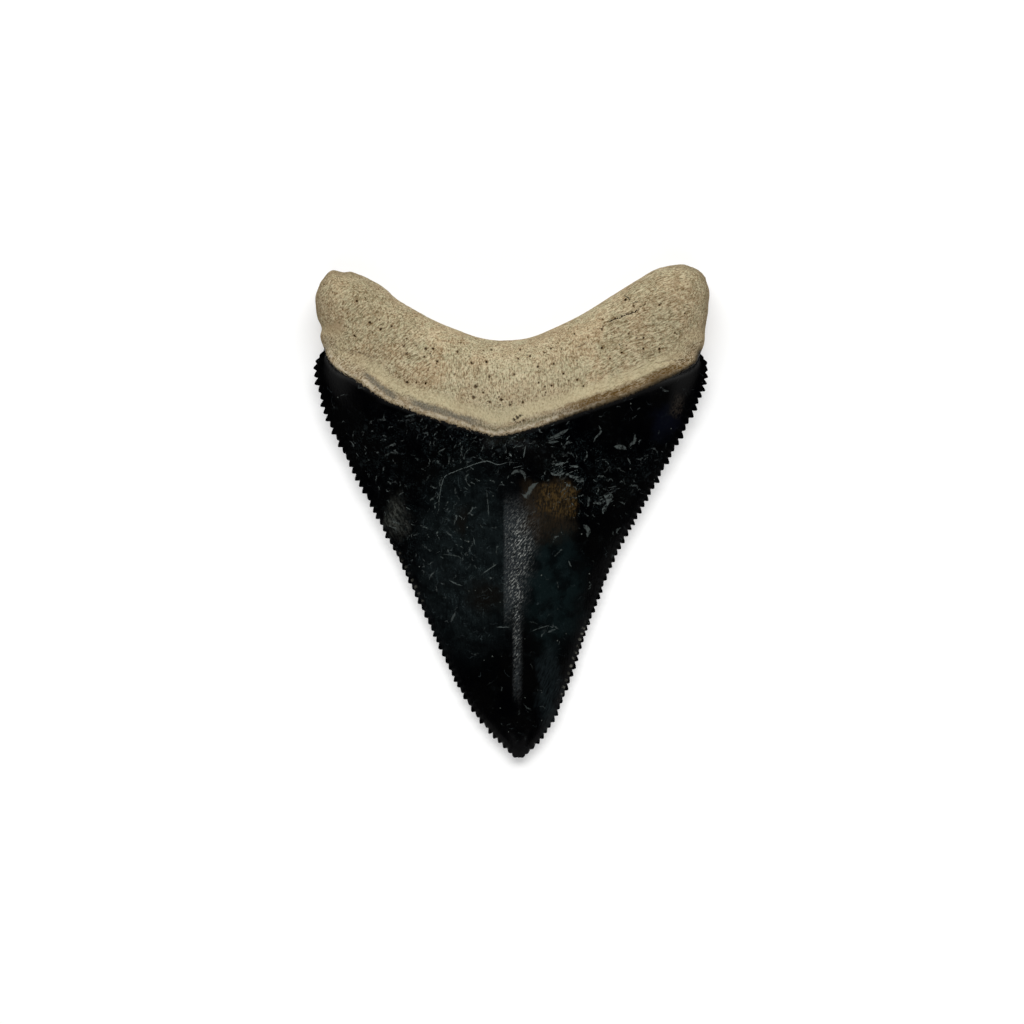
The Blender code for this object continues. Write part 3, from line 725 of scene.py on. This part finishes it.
finish = {
    "white": 1.2,       # how bright a white surface looks under the lamps
    "specular": 0.035,  # gloss of the enamel, kept low so that it stays black
    "roughness": {"enamel": (0.16, 0.23), "marks": 0.62, "ridge": 0.3, "bone": 0.92},
    # relief in millimetres: bone near the neck and further up, enamel off and on the ridge
    "relief": {"fibre": (0.05, 0.14), "grit": (0.06, 0.16), "pebble": (0.01, 0.05), "grain": 0.012},
    # colours as they look in the studio light, red green blue out of 255: the enamel
    "black": (1, 1, 2), "blackWarm": (4, 4, 4), "facet": (21, 27, 28), "facetBrown": (15, 12, 9),
    # on these lines the ridge's grey is enamel greyed by wear with a painted sheen on it, and the bright
    # specks are painted highlights
    "teal": (14, 23, 24), "lowGrey": (27, 34, 36), "leftGrey": (64, 66, 62), "ridgeWearAndSheen": (39, 43, 45),
    "highlightSpecks": (150, 152, 148), "amber": (38, 31, 22), "amberLight": (76, 59, 31), "neckGlow": (30, 30, 21),
    "navy": (6, 8, 17), "brownGrey": (50, 44, 38), "fuzz": (50, 61, 62), "etch": (96, 104, 102),
    "etchDim": (54, 62, 64), "scratch": (120, 126, 120), "glint": (112, 111, 102),
    # the root
    "bone": (192, 177, 140), "boneLight": (236, 222, 186), "boneDark": (116, 94, 63),
    "bonePink": (188, 160, 124), "boneGreen": (182, 177, 143), "boneShade": (138, 114, 78),
    "lobeShade": (154, 137, 105), "poreBrown": (40, 27, 15), "rust": (128, 92, 52),
    # the neck band
    "cream": (222, 209, 170), "lipTan": (156, 136, 108), "lipLight": (216, 205, 182),
    "lipShade": (92, 78, 56), "grooveGrey": (98, 100, 94), "ochre": (100, 76, 40),
    "purpleGrey": (112, 104, 92), "greenGrey": (118, 116, 90),
    # zones seen from above: middle x and y, half width and height, and where the fading starts
    "zones": {
        "facet": (-4.6, -5.5, 8.0, 13.5, 0.35), "brown": (-3.0, -9.5, 2.6, 3.0, 0.2),
        "brownHigh": (-5.5, -1.0, 1.3, 2.2, 0.2), "teal": (4.6, -8.0, 4.4, 10.5, 0.35),
        "low": (4.2, -19.5, 1.7, 6.5, 0.35), "core": (1.3, -3.6, 2.1, 4.6, 0.1),
        "coreLow": (0.6, -10.5, 1.1, 8.0, 0.2), "leftPatch": (-12.7, -0.3, 1.9, 3.1, 0.3),
        "glow": (-0.9, 8.3, 3.2, 1.3, 0.1), "navy": (17.0, 10.0, 2.4, 2.8, 0.2),
        "brownGrey": (18.2, 11.7, 0.9, 1.6, 0.1), "rustLeft": (-19.3, 20.4, 1.4, 1.2, 0.1),
        "rustRight": (18.0, 25.4, 0.9, 0.8, 0.1),
    },
    "middle": (0.5, 12.0, 9.5, 9.0, 0.2),   # the middle of the root, made paler by painted light
    "nest": (0.85, 10.2, 0.9, 0.6, 0.6),    # a nest of small pores just above the neck
    # the same where etched marks crowd, with their share of the marks
    "crowds": [(7.6, 4.0, 6.0, 6.0, 0.4, 0.75), (-5.0, 6.0, 8.0, 5.0, 0.4, 0.7),
               (-9.0, -1.0, 8.0, 9.0, 0.4, 0.5), (-14.5, 7.0, 5.0, 6.0, 0.3, 0.5),
               (14.5, 4.5, 5.0, 5.0, 0.3, 0.55)],
    # ranges as start, full from, full to, end: along x and y
    "ridgeX": (-0.95, -0.6, 1.4, 3.4), "ridgeY": (-13.5, -9.0, -1.5, 2.6),
    "ridgeLowX": (0.0, 0.5, 0.7, 1.4), "ridgeLowY": (-22.0, -18.0, -10.5, -7.5),
    "amberX": (0.6, 2.4, 5.6, 7.8), "amberY": (-4.2, -0.6, 2.6, 3.9),
    "amberLightX": (2.4, 3.2, 6.8, 7.8), "amberLightY": (-0.8, 0.5, 2.5, 3.3),
    # stretches of the two cutting edges that get painted glints
    "glintsRight": (-21.5, -19.5, -13.5, -11.5), "glintsLeft": (-11.5, -9.5, -5.0, -3.5),
    "greenX": (-5.0, -2.0, 3.0, 6.5), "purpleX": (3.0, 6.5, 8.0, 10.5), "edgingX": (-1.0, 2.0, 11.0, 15.0),
    "grooveLeft": (-17.0, -15.4, -13.4, -11.9), "grooveMiddle": (-11.6, -10.4, -5.0, -2.0),
    # and away from the neck or the rim
    "underNeck": (-2.6, -1.6, -0.5, 0.2), "glints": (0.16, 0.32, 0.4, 0.7), "strip": (1.1, 1.8, 2.3, 3.2),
    "stripe": (0.4, 0.6, 0.85, 1.15), "edging": (1.0, 1.15, 1.25, 1.5), "groove": (0.5, 0.8, 1.05, 1.5),
    "stain": (-0.1, 0.25, 1.05, 1.75), "lipHighlight": (0.15, 0.32, 0.45, 0.7),
}

fossilMaterial = bpy.data.materials.new("fossilBoneAndEnamel")
fossilMaterial.use_nodes = True
tree = fossilMaterial.node_tree
tree.nodes.clear()


# Linear colour of a surface that looks like the named colour in the studio light: each channel c
# becomes ((c + 0.055) / 1.055)^2.4, or c / 12.92 when it's dark, over how bright white looks.
def colourOf(name):
    value = np.array(finish[name]) / 255.0
    linear = np.where(value <= 0.04045, value / 12.92, ((value + 0.055) / 1.055) ** 2.4)
    return (*(linear / finish["white"]), 1.0)


# New shader node; inputs are numbers, colours or other nodes' sockets.
def node(kind, inputs=None, **settings):
    made = tree.nodes.new("ShaderNode" + kind)
    for key, value in settings.items():
        setattr(made, key, value)
    for key, value in (inputs or {}).items():
        if isinstance(value, bpy.types.NodeSocket):
            tree.links.new(value, made.inputs[key])
        else:
            made.inputs[key].default_value = value
    return made


# One of Blender's own operations on two numbers, by its name.
def calc(operation, a, b=0.0):
    return node("Math", {0: a, 1: b}, operation=operation).outputs[0]


# a + b
def plus(a, b):
    return calc("ADD", a, b)


# a - b
def minus(a, b):
    return calc("SUBTRACT", a, b)


# 1 - value
def without(value):
    return minus(1.0, value)


# value - 0.5, for a noise that goes both ways
def centred(value):
    return minus(value, 0.5)


# Product of the values.
def times(*values):
    total = values[0]
    for value in values[1:]:
        total = calc("MULTIPLY", total, value)
    return total


# The largest of the values.
def most(*values):
    largest = values[0]
    for value in values[1:]:
        largest = calc("MAXIMUM", largest, value)
    return largest


# 0 at low, 1 at high, 3f^2 - 2f^3 between.
def ramp(value, low, high):
    return node("MapRange", {"Value": value, "From Min": low, "From Max": high},
                interpolation_type="SMOOTHSTEP").outputs["Result"]


# 1 in the named range, 0 outside it: a ramp up, times 1 - a ramp further on.
def within(value, name):
    start, fullFrom, fullTo, end = finish[name]
    return times(ramp(value, start, fullFrom), without(ramp(value, fullTo, end)))


# (1 - amount) * under + amount * over, for colours or names of colours
def mixed(amount, under, over):
    under = colourOf(under) if isinstance(under, str) else under
    over = colourOf(over) if isinstance(over, str) else over
    return node("Mix", {0: amount, 6: under, 7: over}, data_type="RGBA").outputs[2]


# Coats laid over a colour one after the other, each by the product of its amounts.
def painted(under, *coats):
    for colour, *amounts in coats:
        under = mixed(times(*amounts), under, colour)
    return under


# (1 - amount) * under + amount * over, for numbers
def blended(amount, under, over):
    return node("Mix", {0: amount, 2: under, 3: over}, data_type="FLOAT").outputs[0]


# As calc, for places; a length is one number.
def vector(operation, a, b=(0, 0, 0)):
    made = node("VectorMath", {0: a, 1: b}, operation=operation)
    return made.outputs["Value" if operation == "LENGTH" else "Vector"]


# (sx * x, sy * y, sz * z)
def stretched(place, sx, sy, sz):
    return vector("MULTIPLY", place, (sx, sy, sz))


# Noise from 0 to 1 with lumps of about the given size.
def noise(place, size, detail=2.0, rough=0.55):
    made = node("TexNoise", {"Vector": place, "Scale": 1.0 / size, "Detail": detail, "Roughness": rough})
    return made.outputs["Fac"]


# Patches where a noise passes from low to high.
def patchy(place, size, low, high, detail=2.0, rough=0.55):
    return ramp(noise(place, size, detail, rough), low, high)


# 1 inside an ellipse about (cx, cy) that fades out between the fractions soft and 1 of its radii.
def spot(place, cx, cy, rx, ry, soft):
    off = vector("SUBTRACT", place, (cx, cy, 0.0))
    off = vector("MULTIPLY", off, (1 / rx, 1 / ry, 0.0))
    return without(ramp(vector("LENGTH", off), soft, 1.0))


# A place turned about the vertical through the origin.
def turned(place, angle):
    return node("VectorRotate", {"Vector": place, "Angle": angle}, rotation_type="Z_AXIS").outputs[0]


# Noise drawn out along a direction: the pattern is turned by the angle, then squeezed across.
def fibreNoise(place, angle, across, along, detail=2.0):
    squeezed = stretched(turned(place, math.radians(-angle)), 1 / along, 1 / across, 1 / across)
    return noise(squeezed, 1.0, detail, 0.6)


# Voronoi cells, scale of them to a unit, with three random numbers for each.
def cells(place, scale, dimensions):
    cell = node("TexVoronoi", {"Vector": place, "Scale": scale}, voronoi_dimensions=dimensions)
    return cell.outputs, node("SeparateXYZ", {0: cell.outputs["Color"]}).outputs


# Short curved strokes: in each cell of the given size, a line b = bend * a^2 through a point of its
# own, turned by its own angle. The result is 1 on the line where the cell's number is under chance.
def strokes(place, size, reach, width, chance, seed):
    shifted = vector("ADD", stretched(place, 1 / size, 1 / size, 0.0), (seed * 3.7, seed * 5.3, 0.0))
    cell, number = cells(shifted, 1.0, "2D")
    off = vector("SUBTRACT", shifted, cell["Position"])
    a, b = node("SeparateXYZ", {0: turned(off, times(number[0], 2 * math.pi))}).outputs[:2]
    bend = minus(times(number[1], 2.4), 1.2)
    b = minus(b, times(bend, a, a))
    line = without(ramp(calc("ABSOLUTE", b), width * 0.4, width))
    inside = without(ramp(calc("ABSOLUTE", a), reach * 0.6, reach))
    return times(line, inside, ramp(minus(chance, number[2]), 0.0, 0.12))


# Round dots, from 0.5 to 1.5 times the radius: one in each cell of the given size, where the
# cell's number is under chance.
def dots(place, size, radius, chance, seed):
    shifted = stretched(place, 1 / size, 1 / size, 1 / size)
    shifted = vector("ADD", shifted, (seed * 2.9, seed * 4.1, seed * 1.7))
    cell, number = cells(shifted, 1.0, "3D")
    wide = plus(times(number[1], radius), radius * 0.5)
    inside = without(ramp(calc("DIVIDE", cell["Distance"], wide), 0.45, 1.0))
    return times(inside, ramp(minus(chance, number[0]), 0.0, 0.08))


# One of the numbers that the mesh carries at its points.
def attribute(name):
    return node("Attribute", attribute_name=name, attribute_type="GEOMETRY").outputs["Fac"]


# places in millimetres: as they are, with a pattern of its own for the lower face, and strayed by
# noises, so that zones and patterns get uneven borders
place = node("TexCoord").outputs["Object"]
place = node("VectorMath", {0: place, "Scale": 1 / mm}, operation="SCALE").outputs[0]
px, py = node("SeparateXYZ", {0: place}).outputs[:2]
neck, rimAway = attribute("neck"), attribute("rim")
isLower = calc("LESS_THAN", attribute("face"), -0.001)
isUpper = without(isLower)
own = vector("ADD", place, node("CombineXYZ", {0: times(isLower, 57.0), 1: times(isLower, 31.0)}).outputs[0])
waver = node("TexNoise", {"Vector": place, "Scale": 0.45, "Detail": 3.0}).outputs["Color"]
waver = vector("SUBTRACT", waver, (0.5, 0.5, 0.5))
loose = vector("ADD", place, stretched(waver, 3.2, 3.2, 0.0))
lx, ly = node("SeparateXYZ", {0: loose}).outputs[:2]
frayed = node("TexNoise", {"Vector": own, "Scale": 2.4, "Detail": 2.0}).outputs["Color"]
frayed = vector("SUBTRACT", frayed, (0.5, 0.5, 0.5))
bent = vector("ADD", vector("ADD", own, stretched(waver, 1.1, 1.1, 0.0)), stretched(frayed, 0.5, 0.5, 0.0))


# A named zone with an uneven border.
def zone(name):
    return spot(loose, *finish["zones"][name])


# enamel: nearly black, with grey facets where wear has rubbed down the ridge, a painted sheen and painted
# highlight specks on the ridge, a faint painted glow under the neck and an amber patch under the neck
cloud = noise(own, 5.0, 3.0)
pebble = noise(own, 0.26, 2.0, 0.6)
grainUp = fibreNoise(own, 90.0, 0.22, 5.0, 3.0)
hatch = fibreNoise(own, 62.0, 0.16, 0.8)
streaky = plus(times(fibreNoise(own, 90.0, 0.14, 1.4), 0.6), times(pebble, 0.4))
smoky = plus(times(fibreNoise(bent, 112.0, 0.22, 1.3, 3.0), 0.6), times(pebble, 0.4))
facet = times(zone("facet"), blended(ramp(grainUp, 0.25, 0.7), 0.6, 1.0), isUpper)
facet = times(facet, blended(patchy(loose, 1.3, 0.38, 0.6, 3.0, 0.6), 0.45, 1.0))
brown = most(zone("brown"), zone("brownHigh"))
teal = times(zone("teal"), blended(patchy(bent, 1.7, 0.36, 0.6, 3.0), 0.3, 1.0), isUpper)
low = times(zone("low"), ramp(hatch, 0.2, 0.8), isUpper)
# the ridge: greyed by wear, with a painted sheen and painted highlight specks in its colour
narrowing = minus(px, times(plus(py, 2.0), 0.21))
narrowing = plus(narrowing, times(centred(noise(own, 1.2, 3.0, 0.6)), 2.0))
ridge = times(ramp(px, *finish["ridgeX"][:2]), ramp(narrowing, 4.0, 1.3), within(py, "ridgeY"), isUpper)
beads = blended(patchy(stretched(own, 0.0, 1.0, 0.0), 1.7, 0.35, 0.6), 0.35, 1.0)
ridgeLow = times(within(px, "ridgeLowX"), within(py, "ridgeLowY"), beads, isUpper)
ridge = most(ridge, times(ridgeLow, 0.85))
core = most(times(zone("core"), isUpper), times(zone("coreLow"), isUpper))
speckled = plus(times(hatch, 0.5), times(pebble, 0.5))
highlightSpecks = ramp(fibreNoise(own, 52.0, 0.13, 0.42, 3.0), 0.5, 0.66)
amber = times(within(lx, "amberX"), within(ly, "amberY"), isUpper)
amberLight = times(within(lx, "amberLightX"), within(ly, "amberLightY"), isUpper)
leftPatch = times(zone("leftPatch"), blended(ramp(smoky, 0.43, 0.58), 0.12, 0.9), isUpper)
# a faint painted glow just under the neck
glow = times(zone("glow"), ramp(streaky, 0.4, 0.6), isUpper)
enamel = painted(
    mixed(ramp(cloud, 0.35, 0.7), "black", "blackWarm"),
    ("facet", facet),
    ("facetBrown", brown, isUpper, 0.7),
    ("teal", teal),
    ("lowGrey", low),
    # a painted sheen over the ridge's grey, then painted highlight specks
    ("ridgeWearAndSheen", ridge, ramp(speckled, 0.38, 0.52)),
    ("highlightSpecks", ridge, highlightSpecks, blended(core, 0.25, 1.0)),
    ("amber", amber, blended(ramp(streaky, 0.38, 0.55), 0.3, 0.8)),
    ("amberLight", amberLight, blended(ramp(streaky, 0.45, 0.6), 0.05, 0.75)),
    ("leftGrey", leftPatch),
    ("neckGlow", glow, 0.45),
    ("navy", zone("navy"), isUpper),
    ("brownGrey", zone("brownGrey"), ramp(streaky, 0.42, 0.6), 0.75, isUpper))

# etched marks: strokes where roots and snails grew on the enamel, thickest under the neck
crowd = most(*[times(spot(place, *where), share) for *where, share in finish["crowds"]])
underNeck = times(within(neck, "underNeck"), ramp(px, -14.0, -10.0), ramp(px, 8.0, 4.5))
crowd = most(crowd, underNeck, times(isLower, 0.35))
patches = patchy(own, 1.1, 0.38, 0.62)
fuzzy = most(crowd, most(facet, times(teal, 0.35)))
fuzz = times(patchy(bent, 0.17, 0.51, 0.67, 3.0, 0.7), fuzzy, patches)
sparse = times(plus(times(crowd, 0.75), 0.12), patchy(own, 1.9, 0.3, 0.55), ramp(rimAway, 0.3, 1.5))
etched = most(strokes(bent, 0.8, 0.42, 0.09, sparse, 1.0),
              strokes(bent, 1.5, 0.42, 0.07, times(sparse, 0.9), 2.0))
etched = times(etched, patchy(own, 0.22, 0.36, 0.6, 3.0, 0.7))
faint = most(strokes(bent, 1.3, 0.6, 0.03, plus(times(facet, 0.5), 0.08), 3.0),
             strokes(bent, 0.7, 0.5, 0.06, plus(times(facet, 0.5), 0.1), 4.0))
smudge = times(patchy(own, 0.8, 0.56, 0.74, 3.0, 0.6), ramp(cloud, 0.4, 0.6))

# painted glints on the points of the cutting edges, along one stretch of each edge, each a little behind its
# own point
glintStretches = most(times(within(py, "glintsRight"), ramp(px, 1.0, 3.0)),
            times(within(py, "glintsLeft"), ramp(px, -5.0, -7.0), 0.5))
inNotch = calc("DIVIDE", attribute("notch"), most(without(times(rimAway, 1.35)), 0.1))
glints = times(within(rimAway, "glints"), ramp(inNotch, 0.3, 0.06), ramp(pebble, 0.36, 0.56), isUpper)
glints = times(glints, blended(glintStretches, 0.0, 0.85), blended(patchy(own, 0.8, 0.42, 0.6), 0.25, 1.0))

# lines: signed distance against their own half width, kept to their neighbourhood, a little jagged
jag = times(centred(noise(place, 0.3, 3.0, 0.7)), 0.55)
onLine = calc("ABSOLUTE", plus(attribute("markSide"), times(jag, blended(ramp(neck, -0.1, 0.1), 0.35, 1.0))))
onLine = without(ramp(calc("DIVIDE", onLine, plus(attribute("markWidth"), 0.0001)), 0.45, 1.0))
onLine = times(onLine, calc("LESS_THAN", attribute("markAway"), 0.42), attribute("markPower"))
enamel = painted(
    enamel,
    ("fuzz", fuzz, 0.6),
    ("etchDim", faint, patches, 0.6),
    ("etchDim", smudge, plus(times(crowd, 0.3), 0.08)),
    ("etch", etched, blended(patchy(own, 0.9, 0.35, 0.7), 0.15, 0.8)),
    ("scratch", dots(own, 0.9, 0.09, 0.25, 6.0), 0.5),
    # painted glints on the points
    ("glint", glints),
    ("etch", onLine, patchy(place, 0.35, 0.3, 0.55)))

# root: short fibres, upright in the middle and leaning over towards the two lobes, with grit,
# crumbs and small pores
toLeft, toRight = ramp(px, -5.0, -11.0), ramp(px, 5.0, 12.0)
fibre = blended(toLeft, fibreNoise(own, 86.0, 0.16, 0.42, 3.0), fibreNoise(own, 42.0, 0.15, 0.5, 3.0))
fibre = blended(toRight, fibre, fibreNoise(own, 27.0, 0.15, 0.6, 3.0))
grit = times(plus(noise(own, 0.2, 4.0, 0.75), fibre), 0.5)
grit = plus(times(centred(grit), 1.35), 0.5)
crumb = cells(vector("ADD", own, stretched(waver, 0.6, 0.6, 0.0)), 1.0 / 0.24, "3D")[1][0]
blotch, tint = noise(bent, 1.5, 3.0, 0.65), noise(bent, 3.4, 3.0, 0.6)
mottle, ragged = noise(bent, 0.55, 2.0, 0.6), noise(bent, 0.4, 2.0, 0.6)
hue = noise(own, 0.33, 3.0, 0.7)
lobes = most(ramp(px, -8.0, -15.0), ramp(px, 9.0, 15.0))
lobeEnds = most(ramp(px, -14.5, -17.5), ramp(px, 16.0, 19.0))
spongy = plus(neck, times(ragged, blended(lobeEnds, 1.8, 3.0)))
spongy = ramp(spongy, blended(lobeEnds, 1.7, 1.2), blended(lobeEnds, 3.7, 2.7))
grainy = blended(spongy, 0.4, 1.0)
pits = times(ramp(grit, 0.37, 0.3), blended(lobes, 0.3, 0.7))
fine = times(dots(own, 0.42, 0.24, 0.16, 1.0), blended(lobes, 0.9, 0.5), ramp(crumb, 0.2, 0.6))
rust = most(zone("rustLeft"), zone("rustRight"))
bone = painted(
    mixed(ramp(fibre, 0.36, 0.62), "boneDark", "boneLight"),
    ("bone", blended(spongy, 0.7, 0.35)),
    ("boneGreen", ramp(tint, 0.48, 0.58), 0.6),
    ("bonePink", ramp(tint, 0.52, 0.42), 0.6),
    ("bonePink", ramp(mottle, 0.52, 0.68), 0.4),
    ("boneShade", ramp(blotch, 0.5, 0.64), 0.5, spongy),
    ("boneLight", ramp(blotch, 0.46, 0.34), 0.35, spongy),
    # painted shade darkens the lobes and painted light makes the middle paler
    ("lobeShade", lobes, 0.32),
    ("boneLight", spot(place, *finish["middle"]), 0.42),
    ("boneGreen", ramp(hue, 0.5, 0.62), 0.45),
    ("bonePink", ramp(hue, 0.5, 0.38), 0.45),
    ("boneLight", ramp(crumb, 0.5, 0.95), 0.3, grainy),
    ("boneDark", ramp(crumb, 0.4, 0.05), 0.3, grainy),
    ("boneLight", ramp(grit, 0.52, 0.61), 0.6, grainy),
    ("boneDark", ramp(grit, 0.48, 0.38), 0.72, grainy),
    ("poreBrown", pits, spongy),
    ("poreBrown", fine, spongy),
    ("poreBrown", dots(own, 0.9, 0.14, 0.1, 2.0), spongy, 0.8),
    ("rust", rust, ramp(grit, 0.35, 0.6), 0.5))

# neck band: growth lines along the neck, a tan lip with a painted highlight along its top, a grey groove, a
# dark stain on the right half and a smooth cream strip
growth = node("CombineXYZ", {0: times(px, 0.8), 1: times(neck, 6.5), 2: isLower}).outputs[0]
growth = noise(growth, 1.0, 3.0, 0.65)
wavy = plus(neck, times(centred(ragged), 0.5))
wavy = plus(wavy, times(centred(noise(own, 2.2)), 0.7))
leftHalf, rightHalf = ramp(px, 1.5, -3.0), ramp(px, 2.0, 8.0)
brushed = fibreNoise(own, 90.0, 0.14, 0.5)
inner = without(times(lobeEnds, 0.75))
strip = within(wavy, "strip")
lip, banded = without(ramp(wavy, 0.7, 1.7)), without(ramp(wavy, 0.9, 1.9))
stripe = times(within(wavy, "stripe"), blended(ramp(brushed, 0.35, 0.65), 0.35, 0.75))
edging = times(within(wavy, "edging"), within(px, "edgingX"), patchy(own, 0.9, 0.4, 0.6))
groove = times(within(wavy, "groove"), most(within(px, "grooveLeft"), within(px, "grooveMiddle")), isUpper)
stain = times(within(wavy, "stain"), ramp(px, 4.0, 9.0), without(ramp(px, 18.5, 20.5)))
stain = times(stain, patchy(own, 1.3, 0.28, 0.5, 3.0, 0.65), blended(ramp(grit, 0.42, 0.58), 1.0, 0.65))
# a painted highlight along the top of the lip
lipHighlight = times(within(wavy, "lipHighlight"), patchy(own, 0.6, 0.43, 0.56, 3.0, 0.7))
lipHighlightShare = minus(blended(leftHalf, 0.75, 0.5), times(ramp(px, 8.0, 12.0), 0.5))
foot = without(ramp(wavy, blended(rightHalf, 0.0, 0.3), blended(rightHalf, 0.4, 0.8)))
bone = painted(
    bone,
    ("cream", strip, inner, blended(ramp(grit, 0.4, 0.6), 0.45, 0.85), blended(lobes, 1.0, 0.95)),
    ("bonePink", strip, ramp(hue, 0.5, 0.64), 0.4),
    ("lipTan", lip, inner, 0.8),
    ("greenGrey", stripe, within(px, "greenX")),
    ("purpleGrey", stripe, within(px, "purpleX")),
    ("ochre", edging, 0.5),
    ("cream", banded, ramp(growth, 0.52, 0.66), 0.3),
    ("boneDark", banded, ramp(growth, 0.48, 0.34), 0.4),
    ("lipLight", banded, ramp(grit, 0.5, 0.62), 0.45),
    ("lipShade", banded, ramp(grit, 0.5, 0.38), 0.6),
    ("grooveGrey", groove, blended(ramp(brushed, 0.4, 0.6), 0.45, 0.75)),
    ("ochre", stain),
    # the painted highlight along the lip
    ("lipLight", lipHighlight, lipHighlightShare),
    ("lipShade", foot, blended(rightHalf, 0.35, 0.85)))

# the larger pores with a rusty edge, the cracks, and painted shade along the rim at the ends of the lobes
nest = dots(stretched(own, 1.0, 1.0, 0.0), 0.32, 0.75, 0.8, 5.0)
fromPore = node("CombineXYZ", {0: attribute("poreX"), 1: attribute("poreY")}).outputs[0]
fromPore = plus(vector("LENGTH", fromPore), times(centred(grit), 2.4))
nearPore = ramp(attribute("poreAway"), 0.32, 0.22)
bone = painted(
    bone,
    ("poreBrown", nest, spot(place, *finish["nest"]), 0.9),
    ("rust", nearPore, ramp(fromPore, 2.6, 0.9), 0.45),
    ("poreBrown", nearPore, ramp(fromPore, 1.28, 0.78), blended(ramp(blotch, 0.4, 0.6), 0.75, 1.0)),
    ("poreBrown", onLine),
    # painted shade along the rim of the lobes' ends
    ("boneDark", ramp(rimAway, 0.9, 0.1), lobeEnds, 0.35))

# the border between root and enamel: ragged on the left, a soft brownish edge on the right
torn = plus(neck, times(centred(noise(own, 0.32, 3.0, 0.7)), blended(leftHalf, 0.6, 1.1)))
border = minus(torn, blended(rightHalf, 0.06, 0.26))
isBone = ramp(calc("DIVIDE", border, blended(rightHalf, 0.07, 0.26)), -1.0, 1.0)

# roughness and fine relief
roughness, relief = finish["roughness"], finish["relief"]
shine = blended(ramp(grainUp, 0.3, 0.7), *roughness["enamel"])
shine = blended(most(etched, onLine), shine, roughness["marks"])
shine = blended(ridge, shine, roughness["ridge"])
coarse = ramp(neck, 1.4, 3.0)
rise = times(centred(fibre), blended(coarse, *relief["fibre"]))
rise = plus(rise, times(centred(grit), blended(coarse, *relief["grit"])))
onRidge = times(within(px, "ridgeX"), within(py, "ridgeY"))
smooth = times(centred(pebble), blended(onRidge, *relief["pebble"]))
smooth = plus(smooth, times(centred(grainUp), relief["grain"]))
rise = blended(ramp(neck, 0.0, 0.25), smooth, rise)
surface = node("BsdfPrincipled", {
    "Base Color": mixed(isBone, enamel, bone),
    "Roughness": blended(isBone, shine, roughness["bone"]),
    "Normal": node("Bump", {"Height": rise, "Strength": 1.0, "Distance": mm}).outputs[0],
    "Specular IOR Level": finish["specular"]})
node("OutputMaterial", {"Surface": surface.outputs[0]})
fossil.data.materials.append(fossilMaterial)
print("finish:", len(tree.nodes), "nodes")


studio = {
    "table": (0.6, 0.6, 0.598), "tableGlow": 0.4, "glowColour": (1.0, 1.0, 0.995),
    "tableRoughness": 0.9, "tableSpecular": 0.1, "tableSize": 6.0, "tableHeight": -0.03,
    "lens": 135, "sensor": 36, "pixels": 1024, "pixelsPerMm": 9.0, "lookAt": (0.09, 0.0, 2.5),
    "clip": (0.01, 50.0),
    # name, watts, width, depth, then place as the distance and its direction: zenith angle and side
    "lamps": [("keyLamp", 62, 2.4, 1.0, 2.2, 32, 90), ("fillLamp", 20, 3.6, 1.5, 2.2, 68, -90),
              ("ridgeLamp", 2.5, 0.8, 0.4, 2.2, 20.5, -90)],
    "horizon": (0.86, 0.86, 0.85), "overhead": (0.008, 0.0085, 0.009), "horizonEnds": (0.07, 0.16),
}

half = studio["tableSize"] / 2
tableMesh = bpy.data.meshes.new("table")
tableCorners = [(-half, -half), (half, -half), (half, half), (-half, half)]
tableMesh.from_pydata([(*corner, studio["tableHeight"] * mm) for corner in tableCorners], [], [(0, 1, 2, 3)])
table = bpy.data.objects.new("table", tableMesh)
bpy.context.scene.collection.objects.link(table)
tableMaterial = bpy.data.materials.new("paleTable")
tableMaterial.use_nodes = True
tableShader = tableMaterial.node_tree.nodes["Principled BSDF"]
tableShader.inputs["Base Color"].default_value = (*studio["table"], 1.0)
tableShader.inputs["Emission Color"].default_value = (*studio["glowColour"], 1.0)
tableShader.inputs["Emission Strength"].default_value = studio["tableGlow"]
tableShader.inputs["Roughness"].default_value = studio["tableRoughness"]
tableShader.inputs["Specular IOR Level"].default_value = studio["tableSpecular"]
tableMesh.materials.append(tableMaterial)

for name, watts, width, depth, distance, zenith, side in studio["lamps"]:
    lamp = bpy.data.objects.new(name, bpy.data.lights.new(name, "AREA"))
    lamp.data.shape = "RECTANGLE"
    lamp.data.energy = watts
    lamp.data.size = width
    lamp.data.size_y = depth
    zenith, side = math.radians(zenith), math.radians(side)
    level = distance * math.sin(zenith)
    lamp.location = (level * math.cos(side), level * math.sin(side), distance * math.cos(zenith))
    lamp.rotation_euler = lamp.location.to_track_quat("Z", "Y").to_euler()
    bpy.context.scene.collection.objects.link(lamp)

# studio air: pale at the horizon, dim overhead, so the enamel stays black from above. From here on
# node() adds to the world's tree.
world = bpy.data.worlds.new("studio")
bpy.context.scene.world = world
world.use_nodes = True
tree = world.node_tree
up = node("SeparateXYZ", {0: node("TexCoord").outputs["Generated"]}).outputs[2]
air = mixed(ramp(up, *studio["horizonEnds"]), (*studio["horizon"], 1.0), (*studio["overhead"], 1.0))
tree.links.new(air, tree.nodes["Background"].inputs["Color"])

camera = bpy.data.objects.new("camera", bpy.data.cameras.new("camera"))
camera.data.lens = studio["lens"]
camera.data.sensor_width = studio["sensor"]
camera.data.clip_start, camera.data.clip_end = studio["clip"]
lookX, lookY, lookZ = studio["lookAt"]
distance = studio["pixels"] / studio["pixelsPerMm"] * studio["lens"] / studio["sensor"]
camera.location = (lookX * mm, lookY * mm, (lookZ + distance) * mm)
bpy.context.scene.collection.objects.link(camera)
bpy.context.scene.camera = camera
bpy.context.scene.view_settings.view_transform = "Standard"
print("studio: ready")
